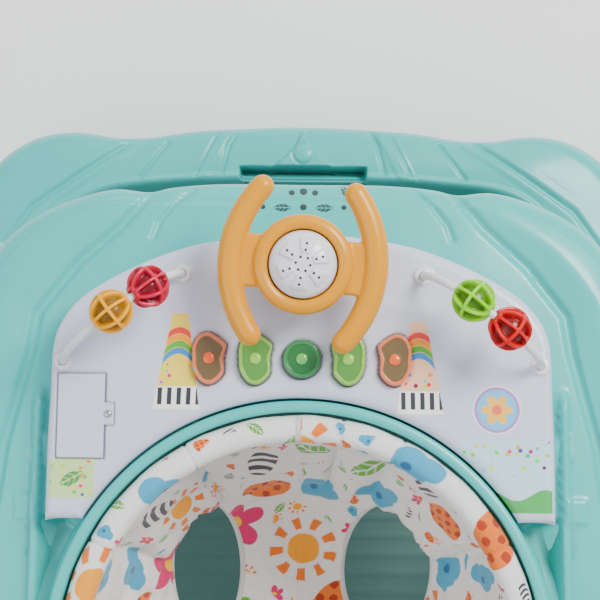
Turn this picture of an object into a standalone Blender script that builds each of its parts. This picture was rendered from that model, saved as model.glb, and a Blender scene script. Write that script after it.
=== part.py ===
"""Baby walker: a wheeled base, a folding pair of U tubes, a play tray and a fabric seat."""

import math

import bmesh
import bpy
import numpy as np
from mathutils import Matrix, Vector

# Overall plan and heights, in metres. +Y is the front, the origin is on the floor.
DECK_TOP = 0.112
SKIRT_Z = 0.046
MAT_Z = (0.0440, 0.0480)
TRAY_SKIRT_Z = 0.356
TRAY_TOP_Z = 0.397
RIM_Z = 0.421
RING_CENTRE = (0.0, -0.113)
RING_R = 0.176
RING_BAND_R = 0.1845
SHELL_T = 0.003
BASE_STEPS = 52
TRAY_STEPS = 48

# Scissor frame: two U tubes of one length that cross in the middle.
TUBE_R = 0.0095
TUBE_WALL = 0.0015
TUBE_L = 0.478
REAR_Y = -0.272
LOW_Z = 0.070
HIGH_Z = 0.360
OUTER_X = 0.226
INNER_X = 0.203
CORNER_R = 0.040
TUBE_END = 0.012
ROLLER_R = 0.0130
ROLLER_X = 0.150

# Casters.
WHEEL_R = 0.018
WHEEL_W = 0.014
TRAIL = 0.014
STEM_R = 0.004
CASTERS = (
    ("front_left", -0.258, 0.292),
    ("front_right", 0.258, 0.292),
    ("side_left", -0.281, 0.010),
    ("side_right", 0.281, 0.010),
    ("rear_left", -0.276, -0.300),
    ("rear_right", 0.276, -0.300),
)

# Play console.
POST_Y = 0.171
PANEL_Z = (0.3995, 0.4250)
PANEL_WALL = 0.0025
BUTTON_Y = 0.1012
BUTTON_X = 0.034
BUTTON_R = 0.0138
BUTTON_SIZE = (0.0245, 0.038)
BUTTON_Z = (0.4140, 0.4300)
COVER_BOX = (-0.178, -0.144, 0.028, 0.089)
CELL_R = 0.0070
CELL_L = 0.0500
STEER_TILT = math.radians(8.0)
STEER_TURN = math.radians(-4.5)
GRIP_R = 0.0085
GRIP_ARC_R = 0.085
DOME_R = 0.0245
WIRE_R = 0.003
ARCH_R = 0.0542
ARCH_DROP = 0.0042
ARCH_ENDS = ((0.175, 0.098), (0.089, 0.164))
BEAD_R = 0.0156
BEAD_ANGLE = math.radians(17.2)
BEAD_SHIFT = {-1: math.radians(14.0), 1: math.radians(-2.0)}

# Outlines as half plans (x >= 0), from the middle of the front round to the middle of the back.
BASE_OUTER = (
    (0, 361), (60, 359), (110, 356), (150, 350), (185, 350), (225, 356), (264, 350), (300, 326),
    (321, 285), (327, 220), (322, 120), (317, 0), (317, -120), (322, -220), (320, -290),
    (300, -334), (255, -356), (180, -361), (90, -358), (0, -357),
)
BASE_INNER = (
    (0, 305), (70, 305), (130, 302), (186, 294), (222, 274), (239, 238), (242, 150), (242, 0),
    (242, -150), (243, -240), (244, -292), (236, -308), (212, -313), (120, -313), (0, -313),
)
TRAY_OUTER = (
    (0, 243), (62, 243), (100, 240), (120, 236), (146, 238), (172, 232), (202, 219), (230, 197),
    (249, 162), (257, 110), (259, 30), (258, -80), (256, -180), (247, -262), (222, -308),
    (168, -331), (90, -336), (0, -336),
)
PANEL_FRONT = (
    (0, 196.5), (63, 190), (97, 181.5), (133, 166), (162, 148), (177, 130), (183.5, 110),
    (184.5, 73), (185.5, 37), (185.5, -2), (183, -12), (176, -16.5), (163, -16.5),
)
SIDE_BUTTON = (
    (-1, 0.0), (-0.97, 0.48), (-0.66, 0.86), (-0.12, 1.0), (0.46, 0.84), (0.98, 0.56), (0.93, 0.26),
    (0.86, 0.0), (0.88, -0.30), (0.84, -0.60), (0.42, -0.90), (-0.04, -1.0), (-0.52, -0.86),
    (-0.92, -0.46),
)

PAINTS = {
    "teal": ((0.22, 0.56, 0.52), 0.35, 0.0),
    "teal_dark": ((0.06, 0.24, 0.21), 0.6, 0.0),
    "console_white": ((0.55, 0.55, 0.60), 0.35, 0.0),
    "yellow": ((0.70, 0.37, 0.01), 0.3, 0.0),
    "pink": ((0.66, 0.03, 0.09), 0.3, 0.0),
    "lime": ((0.28, 0.60, 0.01), 0.3, 0.0),
    "red": ((0.60, 0.012, 0.016), 0.3, 0.0),
    "orange": ((0.72, 0.20, 0.09), 0.3, 0.0),
    "green": ((0.05, 0.27, 0.09), 0.3, 0.0),
    "tube_white": ((0.75, 0.75, 0.75), 0.35, 0.0),
    "steel": ((0.55, 0.55, 0.55), 0.3, 1.0),
    "black_plastic": ((0.02, 0.02, 0.02), 0.5, 0.0),
    "board_green": ((0.02, 0.16, 0.05), 0.5, 0.0),
    "cell_grey": ((0.20, 0.20, 0.22), 0.4, 0.5),
    "rubber_black": ((0.015, 0.015, 0.015), 0.8, 0.0),
    "wheel_white": ((0.70, 0.70, 0.70), 0.4, 0.0),
    "fabric": ((0.72, 0.72, 0.68), 0.9, 0.0),
    "fabric_mesh": ((0.25, 0.45, 0.42), 0.95, 0.0),
}


def clear_scene():
    for obj in list(bpy.data.objects):
        bpy.data.objects.remove(obj, do_unlink=True)


def collection(name, hidden=False):
    made = bpy.data.collections.new(name)
    bpy.context.scene.collection.children.link(made)
    made.hide_render = hidden
    return made


def paint(name):
    found = bpy.data.materials.get(name)
    if found:
        return found
    colour, rough, metal = PAINTS[name]
    made = bpy.data.materials.new(name)
    made.use_nodes = True
    shader = made.node_tree.nodes["Principled BSDF"]
    shader.inputs["Base Color"].default_value = (*colour, 1.0)
    shader.inputs["Roughness"].default_value = rough
    shader.inputs["Metallic"].default_value = metal
    return made


def smooth_loop(half, count, mirrored=True):
    """A closed smooth curve through a half plan given in millimetres, as count points in metres."""
    points = np.array(half, float) / 1000
    if mirrored:
        back = points[::-1] * (-1, 1)
        points = np.concatenate([points, back[1:-1] if points[-1][0] == 0 else back[:-1]])
    before, after = np.roll(points, 1, 0), np.roll(points, -1, 0)
    later = np.roll(points, -2, 0)
    dense = []
    for s in np.linspace(0, 1, 12, endpoint=False):
        a = -0.5 * s + s * s - 0.5 * s**3
        b = 1 - 2.5 * s * s + 1.5 * s**3
        c = 0.5 * s + 2 * s * s - 1.5 * s**3
        d = -0.5 * s * s + 0.5 * s**3
        dense.append(a * before + b * points + c * after + d * later)
    dense = np.stack(dense, 1).reshape(-1, 2)
    steps = np.linalg.norm(np.roll(dense, -1, 0) - dense, axis=1)
    along = np.concatenate([[0], np.cumsum(steps)])
    closed = np.vstack([dense, dense[:1]])
    places = np.linspace(0, along[-1], count, endpoint=False)
    return np.stack([np.interp(places, along, closed[:, i]) for i in (0, 1)], 1)


def corner_turns(count):
    """Angles clockwise from the front, twice as close at the four corners."""
    even = np.linspace(0, 2 * np.pi, count, endpoint=False)
    return even + 0.13 * np.sin(4 * even)


def star_loop(half, centre, count):
    """The same curve as radii from a centre, at count angles clockwise from the front."""
    dense = smooth_loop(half, 1440) - centre
    angle = np.unwrap(np.arctan2(dense[:, 0], dense[:, 1]))
    order = np.argsort(angle % (2 * np.pi))
    angle, radius = (angle % (2 * np.pi))[order], np.hypot(*dense.T)[order]
    turns = corner_turns(count)
    radii = np.interp(turns, angle, radius, period=2 * np.pi)
    return np.stack([np.sin(turns) * radii, np.cos(turns) * radii], 1) + centre


def mesh_object(name, verts, faces, where):
    mesh = bpy.data.meshes.new(name)
    mesh.from_pydata([tuple(v) for v in verts], [], faces)
    obj = bpy.data.objects.new(name, mesh)
    where.objects.link(obj)
    tidy(obj)
    return obj


def tidy(obj):
    grid = bmesh.new()
    grid.from_mesh(obj.data)
    bmesh.ops.remove_doubles(grid, verts=grid.verts, dist=1e-6)
    bmesh.ops.dissolve_degenerate(grid, edges=grid.edges, dist=1e-6)
    bmesh.ops.recalc_face_normals(grid, faces=grid.faces)
    if all(edge.is_manifold for edge in grid.edges) and grid.calc_volume(signed=True) < 0:
        bmesh.ops.reverse_faces(grid, faces=grid.faces)
    grid.to_mesh(obj.data)
    grid.free()


def bake(obj):
    """Turns the object with its modifiers into a plain mesh in place."""
    graph = bpy.context.evaluated_depsgraph_get()
    mesh = bpy.data.meshes.new_from_object(obj.evaluated_get(graph))
    name, owner, matrix = obj.name, obj.users_collection[0], obj.matrix_world.copy()
    bpy.data.objects.remove(obj, do_unlink=True)
    mesh.name = name
    mesh.transform(matrix)
    made = bpy.data.objects.new(name, mesh)
    owner.objects.link(made)
    tidy(made)
    return made


def finish(obj, colour, pivot=(0, 0, 0)):
    obj.data.transform(Matrix.Translation(-Vector(pivot)))
    obj.location = pivot
    obj.data.materials.clear()
    obj.data.materials.append(paint(colour))
    return obj


def loft(name, rings, where, caps=False):
    """A skin over closed rings of equal count, with end caps if asked."""
    count = len(rings[0])
    verts = [tuple(p) for ring in rings for p in ring]
    faces = []
    for i in range(len(rings) - 1):
        for j in range(count):
            k = (j + 1) % count
            faces.append((i * count + j, i * count + k, (i + 1) * count + k, (i + 1) * count + j))
    if caps:
        faces.append(tuple(range(count)))
        faces.append(tuple(reversed(range((len(rings) - 1) * count, len(rings) * count))))
    return mesh_object(name, verts, faces, where)


def thicken(obj, thickness, offset=-1.0):
    shell = obj.modifiers.new("wall", "SOLIDIFY")
    shell.thickness = thickness
    shell.offset = offset
    shell.use_even_offset = True
    return bake(obj)


def boolean(obj, others, operation):
    for other in others:
        step = obj.modifiers.new("boolean", "BOOLEAN")
        step.operation = operation
        step.solver = "EXACT"
        step.object = other
        other.display_type = "WIRE"
        obj = bake(obj)
    return obj


def cut(obj, *cutters):
    return boolean(obj, cutters, "DIFFERENCE")


def add(obj, *others):
    return boolean(obj, others, "UNION")


def rod(name, start, end, radius, where, sides=20, far_radius=None):
    """A straight round bar or cone between two points."""
    start, end = Vector(start), Vector(end)
    grid = bmesh.new()
    far = radius if far_radius is None else far_radius
    bmesh.ops.create_cone(
        grid, cap_ends=True, segments=sides, radius1=radius, radius2=far, depth=(end - start).length
    )
    turn = (end - start).to_track_quat("Z", "Y").to_matrix().to_4x4()
    grid.transform(Matrix.Translation((start + end) / 2) @ turn)
    mesh = bpy.data.meshes.new(name)
    grid.to_mesh(mesh)
    grid.free()
    obj = bpy.data.objects.new(name, mesh)
    where.objects.link(obj)
    return obj


def block(name, low, high, where, bevel=0.0):
    grid = bmesh.new()
    bmesh.ops.create_cube(grid, size=1.0)
    low, high = Vector(low), Vector(high)
    scale = Matrix.Diagonal((*(high - low), 1.0))
    grid.transform(Matrix.Translation((low + high) / 2) @ scale)
    mesh = bpy.data.meshes.new(name)
    grid.to_mesh(mesh)
    grid.free()
    obj = bpy.data.objects.new(name, mesh)
    where.objects.link(obj)
    if bevel:
        step = obj.modifiers.new("bevel", "BEVEL")
        step.width = bevel
        step.segments = 2
        obj = bake(obj)
    return obj


def lathe(name, profile, where, steps=32, matrix=None):
    """A turned solid: profile of (radius, height) pairs from top to bottom, about local Z."""
    mesh = bpy.data.meshes.new(name)
    verts = [(r, 0.0, z) for r, z in profile]
    closed = profile[0][0] > 1e-6
    edges = [(i, i + 1) for i in range(len(verts) - 1)]
    if closed:
        edges.append((len(verts) - 1, 0))
    mesh.from_pydata(verts, edges, [])
    obj = bpy.data.objects.new(name, mesh)
    where.objects.link(obj)
    turn = obj.modifiers.new("turn", "SCREW")
    turn.steps = steps
    turn.render_steps = steps
    turn.use_merge_vertices = True
    turn.merge_threshold = 0.00005
    turn.use_normal_calculate = True
    if matrix is not None:
        obj.matrix_world = matrix
        bpy.context.view_layer.update()
    return bake(obj)


def plate(name, outline, low, high, where, rounding=0.0, rounds=0):
    """A flat plate of that outline between two heights, with rounded edges."""
    curve = bpy.data.curves.new(name, "CURVE")
    curve.dimensions = "2D"
    curve.fill_mode = "BOTH"
    curve.extrude = (high - low) / 2 - rounding
    curve.bevel_depth = rounding
    curve.bevel_resolution = rounds
    curve.offset = -rounding
    line = curve.splines.new("POLY")
    line.points.add(len(outline) - 1)
    for point, (x, y) in zip(line.points, outline):
        point.co = (x, y, 0.0, 1.0)
    line.use_cyclic_u = True
    obj = bpy.data.objects.new(name, curve)
    obj.location = (0.0, 0.0, (low + high) / 2)
    where.objects.link(obj)
    bpy.context.view_layer.update()
    return bake(obj)


def shrink(outline, amount):
    """The closed outline moved inwards along its normals."""
    points = np.array(outline)
    run = np.roll(points, -1, 0) - np.roll(points, 1, 0)
    normal = np.stack([run[:, 1], -run[:, 0]], 1)
    normal /= np.linalg.norm(normal, axis=1, keepdims=True)
    x, y = points.T
    area = 0.5 * np.sum(x * np.roll(y, -1) - np.roll(x, -1) * y)
    return points - normal * amount * np.sign(area)


def wire(name, path, radius, where, sides=12, closed=False, wall=0.0):
    """A round bar along a path of points; wall > 0 makes it a tube with open ends."""
    points = np.array(path, float)
    if closed:
        along = np.roll(points, -1, 0) - np.roll(points, 1, 0)
    else:
        along = np.gradient(points, axis=0)
    along /= np.linalg.norm(along, axis=1, keepdims=True)
    flat = np.linalg.svd(points - points.mean(0))[2][2]
    side = np.cross(along, flat)
    side /= np.linalg.norm(side, axis=1, keepdims=True)
    up = np.cross(side, along)
    turns = np.linspace(0, 2 * np.pi, sides, endpoint=False)
    rings = [
        points[i] + radius * (np.outer(np.cos(turns), side[i]) + np.outer(np.sin(turns), up[i]))
        for i in range(len(points))
    ]
    if closed:
        return loft(name, rings + rings[:1], where)
    if wall:
        return thicken(loft(name, rings, where), wall)
    return loft(name, rings, where, caps=True)


def frame_point(x, s, falling):
    """A point on a U tube's plane: s runs along the leg; falling is the tube that drops forwards."""
    dy = math.sqrt(TUBE_L**2 - (HIGH_Z - LOW_Z) ** 2)
    y = REAR_Y + s * dy / TUBE_L
    rise = s * (HIGH_Z - LOW_Z) / TUBE_L
    return (x, y, HIGH_Z - rise if falling else LOW_Z + rise)


def u_path(half_width, falling):
    """The centre line of a U tube: leg, rounded corner, crossbar, corner, leg."""
    flat = [(half_width, -TUBE_END), (half_width, TUBE_L / 2), (half_width, TUBE_L - CORNER_R)]
    for turn in np.linspace(0, math.pi / 2, 5)[1:]:
        flat.append(
            (
                half_width - CORNER_R * (1 - math.cos(turn)),
                TUBE_L - CORNER_R * (1 - math.sin(turn)),
            )
        )
    flat += [(-x, s) for x, s in reversed(flat)]
    return [frame_point(x, s, falling) for x, s in flat]


def make_base(parts, cutters):
    outer = star_loop(BASE_OUTER, (0, 0), BASE_STEPS)
    inner = star_loop(BASE_INNER, (0, 0), BASE_STEPS)
    profile = (
        (0.0, SKIRT_Z), (0.0, 0.072), (0.06, 0.098), (0.30, DECK_TOP),
        (0.68, DECK_TOP - 0.002), (1.0, 0.101), (1.0, SKIRT_Z),
    )
    rings = [
        np.column_stack([outer + (inner - outer) * t, np.full(BASE_STEPS, z)]) for t, z in profile
    ]
    shell = thicken(loft("base_shell", rings, parts), SHELL_T)
    for name, x, y in CASTERS:
        boss = rod("boss", (x, y, 0.050), (x, y, DECK_TOP - 0.0030), 0.010, cutters, 10)
        hole = rod("hole", (x, y, 0.045), (x, y, 0.0730), STEM_R + 0.0004, cutters, 10)
        shell = cut(add(shell, boss), hole)
    finish(shell, "teal")
    mat = plate("foot_mat", shrink(inner, 0.0012), *MAT_Z, parts)
    finish(mat, "teal_dark")
    for side, word in ((-1, "left"), (1, "right")):
        low = (side * 0.2370, REAR_Y - 0.016, 0.052)
        high = (side * 0.2405, REAR_Y + 0.018, 0.092)
        bracket = block("rear_bracket_" + word, np.minimum(low, high), np.maximum(low, high), parts)
        pin = rod(
            "pin", (side * 0.2385, REAR_Y, LOW_Z), (side * 0.2150, REAR_Y, LOW_Z), 0.0040, cutters, 16
        )
        finish(add(bracket, pin), "black_plastic")
    for end, word in ((1, "front"), (-1, "rear")):
        y = end * 0.336
        pad = block("stopper_" + word, (-0.050, y - 0.022, 0.0420), (0.050, y + 0.022, 0.0457), parts)
        foot = block("foot", (-0.042, y - 0.009, 0.010), (0.042, y + 0.009, 0.044), cutters, 0.003)
        finish(add(pad, foot), "rubber_black")


def make_casters(parts, cutters):
    for word, x, y in CASTERS:
        wheel_y = y - TRAIL
        fork = rod("caster_fork_" + word, (x, y, 0.0395), (x, y, 0.0435), 0.0125, parts, 14)
        stem = rod("stem", (x, y, 0.042), (x, y, 0.0710), STEM_R, cutters, 10)
        crown = block(
            "crown", (x - 0.0115, y - 0.020, 0.0385), (x + 0.0115, y + 0.006, 0.0430), cutters
        )
        fork = add(fork, stem, crown)
        for side in (-1, 1):
            near, far = sorted((side * 0.0085, side * 0.0115))
            arm = block(
                "arm", (x + near, y - 0.0215, 0.012), (x + far, y + 0.004, 0.0400), cutters
            )
            fork = add(fork, arm)
        axle = rod(
            "axle", (x - 0.010, wheel_y, WHEEL_R), (x + 0.010, wheel_y, WHEEL_R), 0.0025, cutters, 8
        )
        finish(add(fork, axle), "black_plastic", (x, y, 0.0435))
        turn = Matrix.Translation((x, wheel_y, WHEEL_R)) @ Matrix.Rotation(math.pi / 2, 4, "Y")
        half = WHEEL_W / 2
        tread = [
            (0.0029, half), (WHEEL_R - 0.002, half), (WHEEL_R, half - 0.002),
            (WHEEL_R, 0.002 - half), (WHEEL_R - 0.002, -half), (0.0029, -half),
        ]
        wheel = lathe("caster_wheel_" + word, tread, parts, 16, turn)
        finish(wheel, "wheel_white", (x, wheel_y, WHEEL_R))


def make_frame(parts, cutters):
    mid = frame_point(0, TUBE_L / 2, False)
    outer = wire("outer_frame", u_path(OUTER_X, False), TUBE_R, parts, 10, wall=TUBE_WALL)
    inner = wire("inner_frame", u_path(INNER_X, True), TUBE_R, parts, 10, wall=TUBE_WALL)
    for side in (-1, 1):
        low_pin = rod("p", (side * 0.212, REAR_Y, LOW_Z), (side * 0.24, REAR_Y, LOW_Z), 0.0044,
                      cutters, 16)
        mid_pin = rod("p", (side * 0.190, mid[1], mid[2]), (side * 0.24, mid[1], mid[2]), 0.0039,
                      cutters, 16)
        top_pin = rod("p", (side * 0.190, REAR_Y, HIGH_Z), (side * 0.2145, REAR_Y, HIGH_Z), 0.0044,
                      cutters, 16)
        outer = cut(outer, low_pin, mid_pin)
        inner = cut(inner, top_pin, mid_pin)
    finish(outer, "tube_white", (0, REAR_Y, LOW_Z))
    finish(inner, "tube_white", mid)
    for side, word in ((-1, "left"), (1, "right")):
        axis = Matrix.Translation((side * 0.203, mid[1], mid[2]))
        axis = axis @ Matrix.Rotation(side * math.pi / 2, 4, "Y")
        rivet = lathe(
            "cross_rivet_" + word,
            [(0, 0.0350), (0.0040, 0.0350), (0.0062, 0.0329), (0.0035, 0.0329),
             (0.0035, -0.0098), (0.0062, -0.0098), (0.0040, -0.0118), (0, -0.0118)],
            parts, 12, axis,
        )
        finish(rivet, "steel", mid)
        low = frame_point(0, TUBE_L, True)
        shoe = rod("slide_shoe_" + word, (side * 0.138, low[1], low[2]),
                   (side * 0.160, low[1], low[2]), 0.0214, parts, 20)
        bore = rod("bore", (side * 0.13, low[1], low[2]), (side * 0.17, low[1], low[2]),
                   TUBE_R + 0.0003, cutters, 20)
        finish(cut(shoe, bore), "black_plastic", low)
        high = frame_point(0, TUBE_L, False)
        roller = rod("crossbar_roller_" + word, (side * 0.140, high[1], high[2]),
                     (side * 0.160, high[1], high[2]), ROLLER_R, parts, 20)
        bore = rod("bore", (side * 0.13, high[1], high[2]), (side * 0.17, high[1], high[2]),
                   TUBE_R + 0.0003, cutters, 20)
        finish(cut(roller, bore), "black_plastic", high)


def make_tray(parts, cutters):
    centre = np.array(RING_CENTRE)
    outer = star_loop(TRAY_OUTER, centre, TRAY_STEPS)
    turns = corner_turns(TRAY_STEPS)
    ring = np.stack([np.sin(turns), np.cos(turns)], 1)
    band = ring * RING_BAND_R + centre
    inner = ring * RING_R + centre
    rings = [
        np.column_stack([outer, np.full(TRAY_STEPS, TRAY_SKIRT_Z)]),
        np.column_stack([outer, np.full(TRAY_STEPS, 0.374)]),
        np.column_stack([outer + (band - outer) * 0.08, np.full(TRAY_STEPS, 0.391)]),
        np.column_stack([outer + (band - outer) * 0.30, np.full(TRAY_STEPS, TRAY_TOP_Z)]),
        np.column_stack([band, np.full(TRAY_STEPS, TRAY_TOP_Z)]),
        np.column_stack([band, np.full(TRAY_STEPS, RIM_Z - 0.002)]),
        np.column_stack([band - ring * 0.003, np.full(TRAY_STEPS, RIM_Z)]),
        np.column_stack([inner, np.full(TRAY_STEPS, RIM_Z)]),
        np.column_stack([inner, np.full(TRAY_STEPS, TRAY_SKIRT_Z)]),
    ]
    finish(thicken(loft("tray_shell", rings, parts), SHELL_T), "teal")
    top = 0.3800
    for side, word in ((-1, "left"), (1, "right")):
        low = (side * 0.2150, REAR_Y - 0.014, HIGH_Z - 0.012)
        high = (side * 0.2190, REAR_Y + 0.014, 0.3860)
        bracket = block("tray_bracket_" + word, np.minimum(low, high), np.maximum(low, high), parts)
        pin = rod("pin", (side * 0.2180, REAR_Y, HIGH_Z), (side * 0.1915, REAR_Y, HIGH_Z), 0.0040,
                  cutters, 16)
        finish(add(bracket, pin), "black_plastic")
        rail = block("tray_rail_" + word,
                     (side * 0.150 - 0.017, 0.088, HIGH_Z - ROLLER_R - 0.0044),
                     (side * 0.150 + 0.017, 0.2192, top), parts)
        slot = block("slot",
                     (side * 0.150 - 0.0125, 0.080, HIGH_Z - ROLLER_R - 0.0004),
                     (side * 0.150 + 0.0125, 0.2157, HIGH_Z + ROLLER_R + 0.0004), cutters)
        through = block("through",
                        (side * 0.150 - 0.020, 0.080, HIGH_Z - TUBE_R - 0.0010),
                        (side * 0.150 + 0.020, 0.2157, HIGH_Z + TUBE_R + 0.0010), cutters)
        finish(cut(rail, slot, through), "black_plastic")
    rack = block("height_rack", (-0.022, 0.092, HIGH_Z + TUBE_R + 0.0006), (0.022, 0.212, top), parts)
    for i in range(4):
        y = 0.108 + i * 0.0315
        notch = rod("notch", (-0.03, y, HIGH_Z), (0.03, y, HIGH_Z), TUBE_R + 0.0012, cutters, 24)
        rack = cut(rack, notch)
    finish(rack, "black_plastic")
    body = block("height_release", (-0.020, 0.0975, 0.3430), (0.020, 0.226, 0.3490), parts, 0.001)
    grip = block("grip", (-0.045, 0.208, 0.3400), (0.045, 0.228, 0.3520), cutters, 0.003)
    finish(add(body, grip), "orange", (0, 0.16, 0.346))


def panel_outline(count, gap=0.0):
    half = np.array(PANEL_FRONT, float)
    radius = (RING_BAND_R + 0.0016 + gap) * 1000
    first = math.asin(159.0 / radius)
    arc = [
        (radius * math.sin(a), radius * math.cos(a) + RING_CENTRE[1] * 1000)
        for a in np.linspace(first, 0, 9)
    ]
    return smooth_loop([*half, *arc], count)


def round_hole(name, x, y, radius, low, high, where, sides=28):
    return rod(name, (x, y, low), (x, y, high), radius, where, sides)


def button_outline(side, grow=0.0):
    """The waisted outline of a side button; its straight edge faces away from the middle."""
    shape = np.array(SIDE_BUTTON) * (-side, 1.0)
    half = np.array(BUTTON_SIZE) / 2 + grow
    return smooth_loop(shape * half * 1000, 20, mirrored=False)


def make_console(parts, cutters):
    outline = panel_outline(52)
    low, high = PANEL_Z
    floor = plate("console_base", shrink(outline, 0.004), TRAY_TOP_Z + 0.0004, low - 0.0003, parts)
    panel = plate("console_body", outline, low, high, parts, 0.003)
    hollow = plate("hollow", shrink(outline, PANEL_WALL), low - 0.010, high - PANEL_WALL, cutters)
    panel = cut(panel, hollow)
    x0, x1, y0, y1 = COVER_BOX
    opening = block("opening", (x0 - 0.0004, y0 - 0.0004, 0.41), (x1 + 0.0004, y1 + 0.0004, 0.44),
                    cutters)
    tab_hole = block("tab", (x1 - 0.002, 0.0516, 0.41), (x1 + 0.0074, 0.0684, 0.44), cutters)
    panel = cut(panel, opening, tab_hole)
    panel = cut(panel, round_hole("hole", 0, BUTTON_Y, BUTTON_R + 0.0005, 0.41, 0.44, cutters))
    for i in (-2, -1, 1, 2):
        side = 1 if i > 0 else -1
        shape = button_outline(side, 0.0005) + (i * BUTTON_X, BUTTON_Y)
        panel = cut(panel, plate("hole", shape, 0.41, 0.44, cutters))
    for side in (-1, 1):
        for x, y in ARCH_ENDS:
            panel = cut(panel, round_hole("hole", side * x, y, WIRE_R + 0.0004, 0.41, 0.44, cutters, 16))
    finish(panel, "console_white")
    finish(floor, "black_plastic")
    cover = block("battery_cover", (x0, y0, high - PANEL_WALL), (x1, y1, high + 0.0006), parts)
    tab = block("tab", (x1 - 0.001, 0.052, high - PANEL_WALL), (x1 + 0.007, 0.068, high + 0.0006),
                cutters)
    screw_xy = (x1 + 0.0030, 0.060)
    hole = round_hole("hole", *screw_xy, 0.0017, 0.41, 0.44, cutters, 12)
    finish(cut(add(cover, tab), hole), "console_white")
    screw = lathe(
        "battery_screw",
        [(0, 0.0019), (0.0018, 0.0018), (0.0029, 0.0009), (0.0029, 0.0003), (0.0014, 0.0003),
         (0.0014, -0.0060), (0, -0.0065)],
        parts, 10, Matrix.Translation((*screw_xy, high + 0.0006)),
    )
    finish(screw, "steel", (*screw_xy, high))
    for i, word in ((-1, "a"), (1, "b")):
        x = (x0 + x1) / 2 + i * (CELL_R + 0.0004)
        y = (y0 + y1) / 2
        cell = rod("battery_cell_" + word, (x, y - CELL_L / 2, 0.4085), (x, y + CELL_L / 2, 0.4085),
                   CELL_R, parts, 14)
        nub = rod("nub", (x, y + CELL_L / 2 - 0.001, 0.4085), (x, y + CELL_L / 2 + 0.0015, 0.4085),
                  0.0028, cutters, 8)
        finish(add(cell, nub), "cell_grey")
    board = block("circuit_board", (-0.085, BUTTON_Y - 0.014, 0.4040), (0.085, 0.138, 0.4056), parts)
    finish(board, "board_green")
    speaker = lathe(
        "speaker",
        [(0, 0.0060), (0.0080, 0.0060), (0.0220, 0.0120), (0.0240, 0.0120), (0.0240, 0.0105),
         (0.0110, 0.0020), (0.0110, 0.0000), (0, 0.0000)],
        parts, 16, Matrix.Translation((0, 0.165, 0.4045)),
    )
    finish(speaker, "black_plastic")


def make_steering(parts, cutters):
    local = Matrix.Translation((0, POST_Y, PANEL_Z[1] + 0.0004)) @ Matrix.Rotation(STEER_TILT, 4, "X")
    column = lathe(
        "steering_column",
        [(0, 0.0420), (0.0140, 0.0420), (0.0140, 0.0300), (0.0150, 0.0150), (0.0210, 0.0060),
         (0.0215, 0.0032), (0, 0.0032)],
        parts, 20, local,
    )
    finish(column, "console_white")
    dome = lathe(
        "speaker_dome",
        [(0, 0.0585), (0.0120, 0.0565), (0.0200, 0.0515), (0.0245, 0.0445),
         (0.0235, 0.0425), (0, 0.0425)],
        parts, 24, local,
    )
    finish(dome, "console_white")
    wheel = lathe(
        "steering_wheel",
        [(0.0255, 0.0485), (0.0300, 0.0500), (0.0345, 0.0480), (0.0360, 0.0440), (0.0350, 0.0360),
         (0.0310, 0.0320), (0.0144, 0.0310), (0.0144, 0.0408), (0.0240, 0.0415), (0.0250, 0.0430)],
        parts, 28, local,
    )
    turned = local @ Matrix.Rotation(STEER_TURN, 4, "Z")
    for side in (-1, 1):
        web = block("web", (0.0300, -0.017, 0.0345), (0.0500, 0.017, 0.0440), cutters, 0.002)
        web.data.transform(turned @ Matrix.Scale(side, 4, (1, 0, 0)))
        tidy(web)
        angles = np.linspace(-0.673, 0.673, 9)
        shift = 0.052 - GRIP_ARC_R
        path = [
            (side * (shift + GRIP_ARC_R * math.cos(a)), GRIP_ARC_R * math.sin(a), 0.040)
            for a in angles
        ]
        grip = wire("grip", path, GRIP_R, cutters, 8)
        for a in (angles[0], angles[-1]):
            ball = bmesh.new()
            bmesh.ops.create_icosphere(ball, subdivisions=1, radius=GRIP_R * 1.02)
            place = (side * (shift + GRIP_ARC_R * math.cos(a)), GRIP_ARC_R * math.sin(a), 0.040)
            ball.transform(Matrix.Translation(place))
            mesh = bpy.data.meshes.new("tip")
            ball.to_mesh(mesh)
            ball.free()
            tip = bpy.data.objects.new("tip", mesh)
            cutters.objects.link(tip)
            grip = add(grip, tip)
        grip.data.transform(turned)
        wheel = add(wheel, web, grip)
    finish(wheel, "yellow", local @ Vector((0, 0, 0.040)))


def make_buttons(parts, cutters):
    low, high = BUTTON_Z
    cap = round_hole("button_centre", 0, BUTTON_Y, BUTTON_R, low, high, parts, 24)
    finish(cap, "green", (0, BUTTON_Y, low))
    for i, word, colour in (
        (-2, "outer_left", "orange"), (-1, "inner_left", "lime"),
        (1, "inner_right", "lime"), (2, "outer_right", "orange"),
    ):
        side = 1 if i > 0 else -1
        shape = button_outline(side) + (i * BUTTON_X, BUTTON_Y)
        cap = plate("button_" + word, shape, low, high, parts, 0.0015)
        finish(cap, colour, (i * BUTTON_X, BUTTON_Y, low))


def arch_frame(side):
    """Local frame of a bead arch: X runs along the chord, Z up, origin at the arc's centre."""
    far, near = (Vector((side * x, y, PANEL_Z[1] - ARCH_DROP)) for x, y in ARCH_ENDS)
    run = (near - far).normalized()
    up = Vector((0, 0, 1))
    across = up.cross(run)
    turn = Matrix((run, across, up)).transposed().to_4x4()
    return Matrix.Translation((far + near) / 2) @ turn


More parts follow.
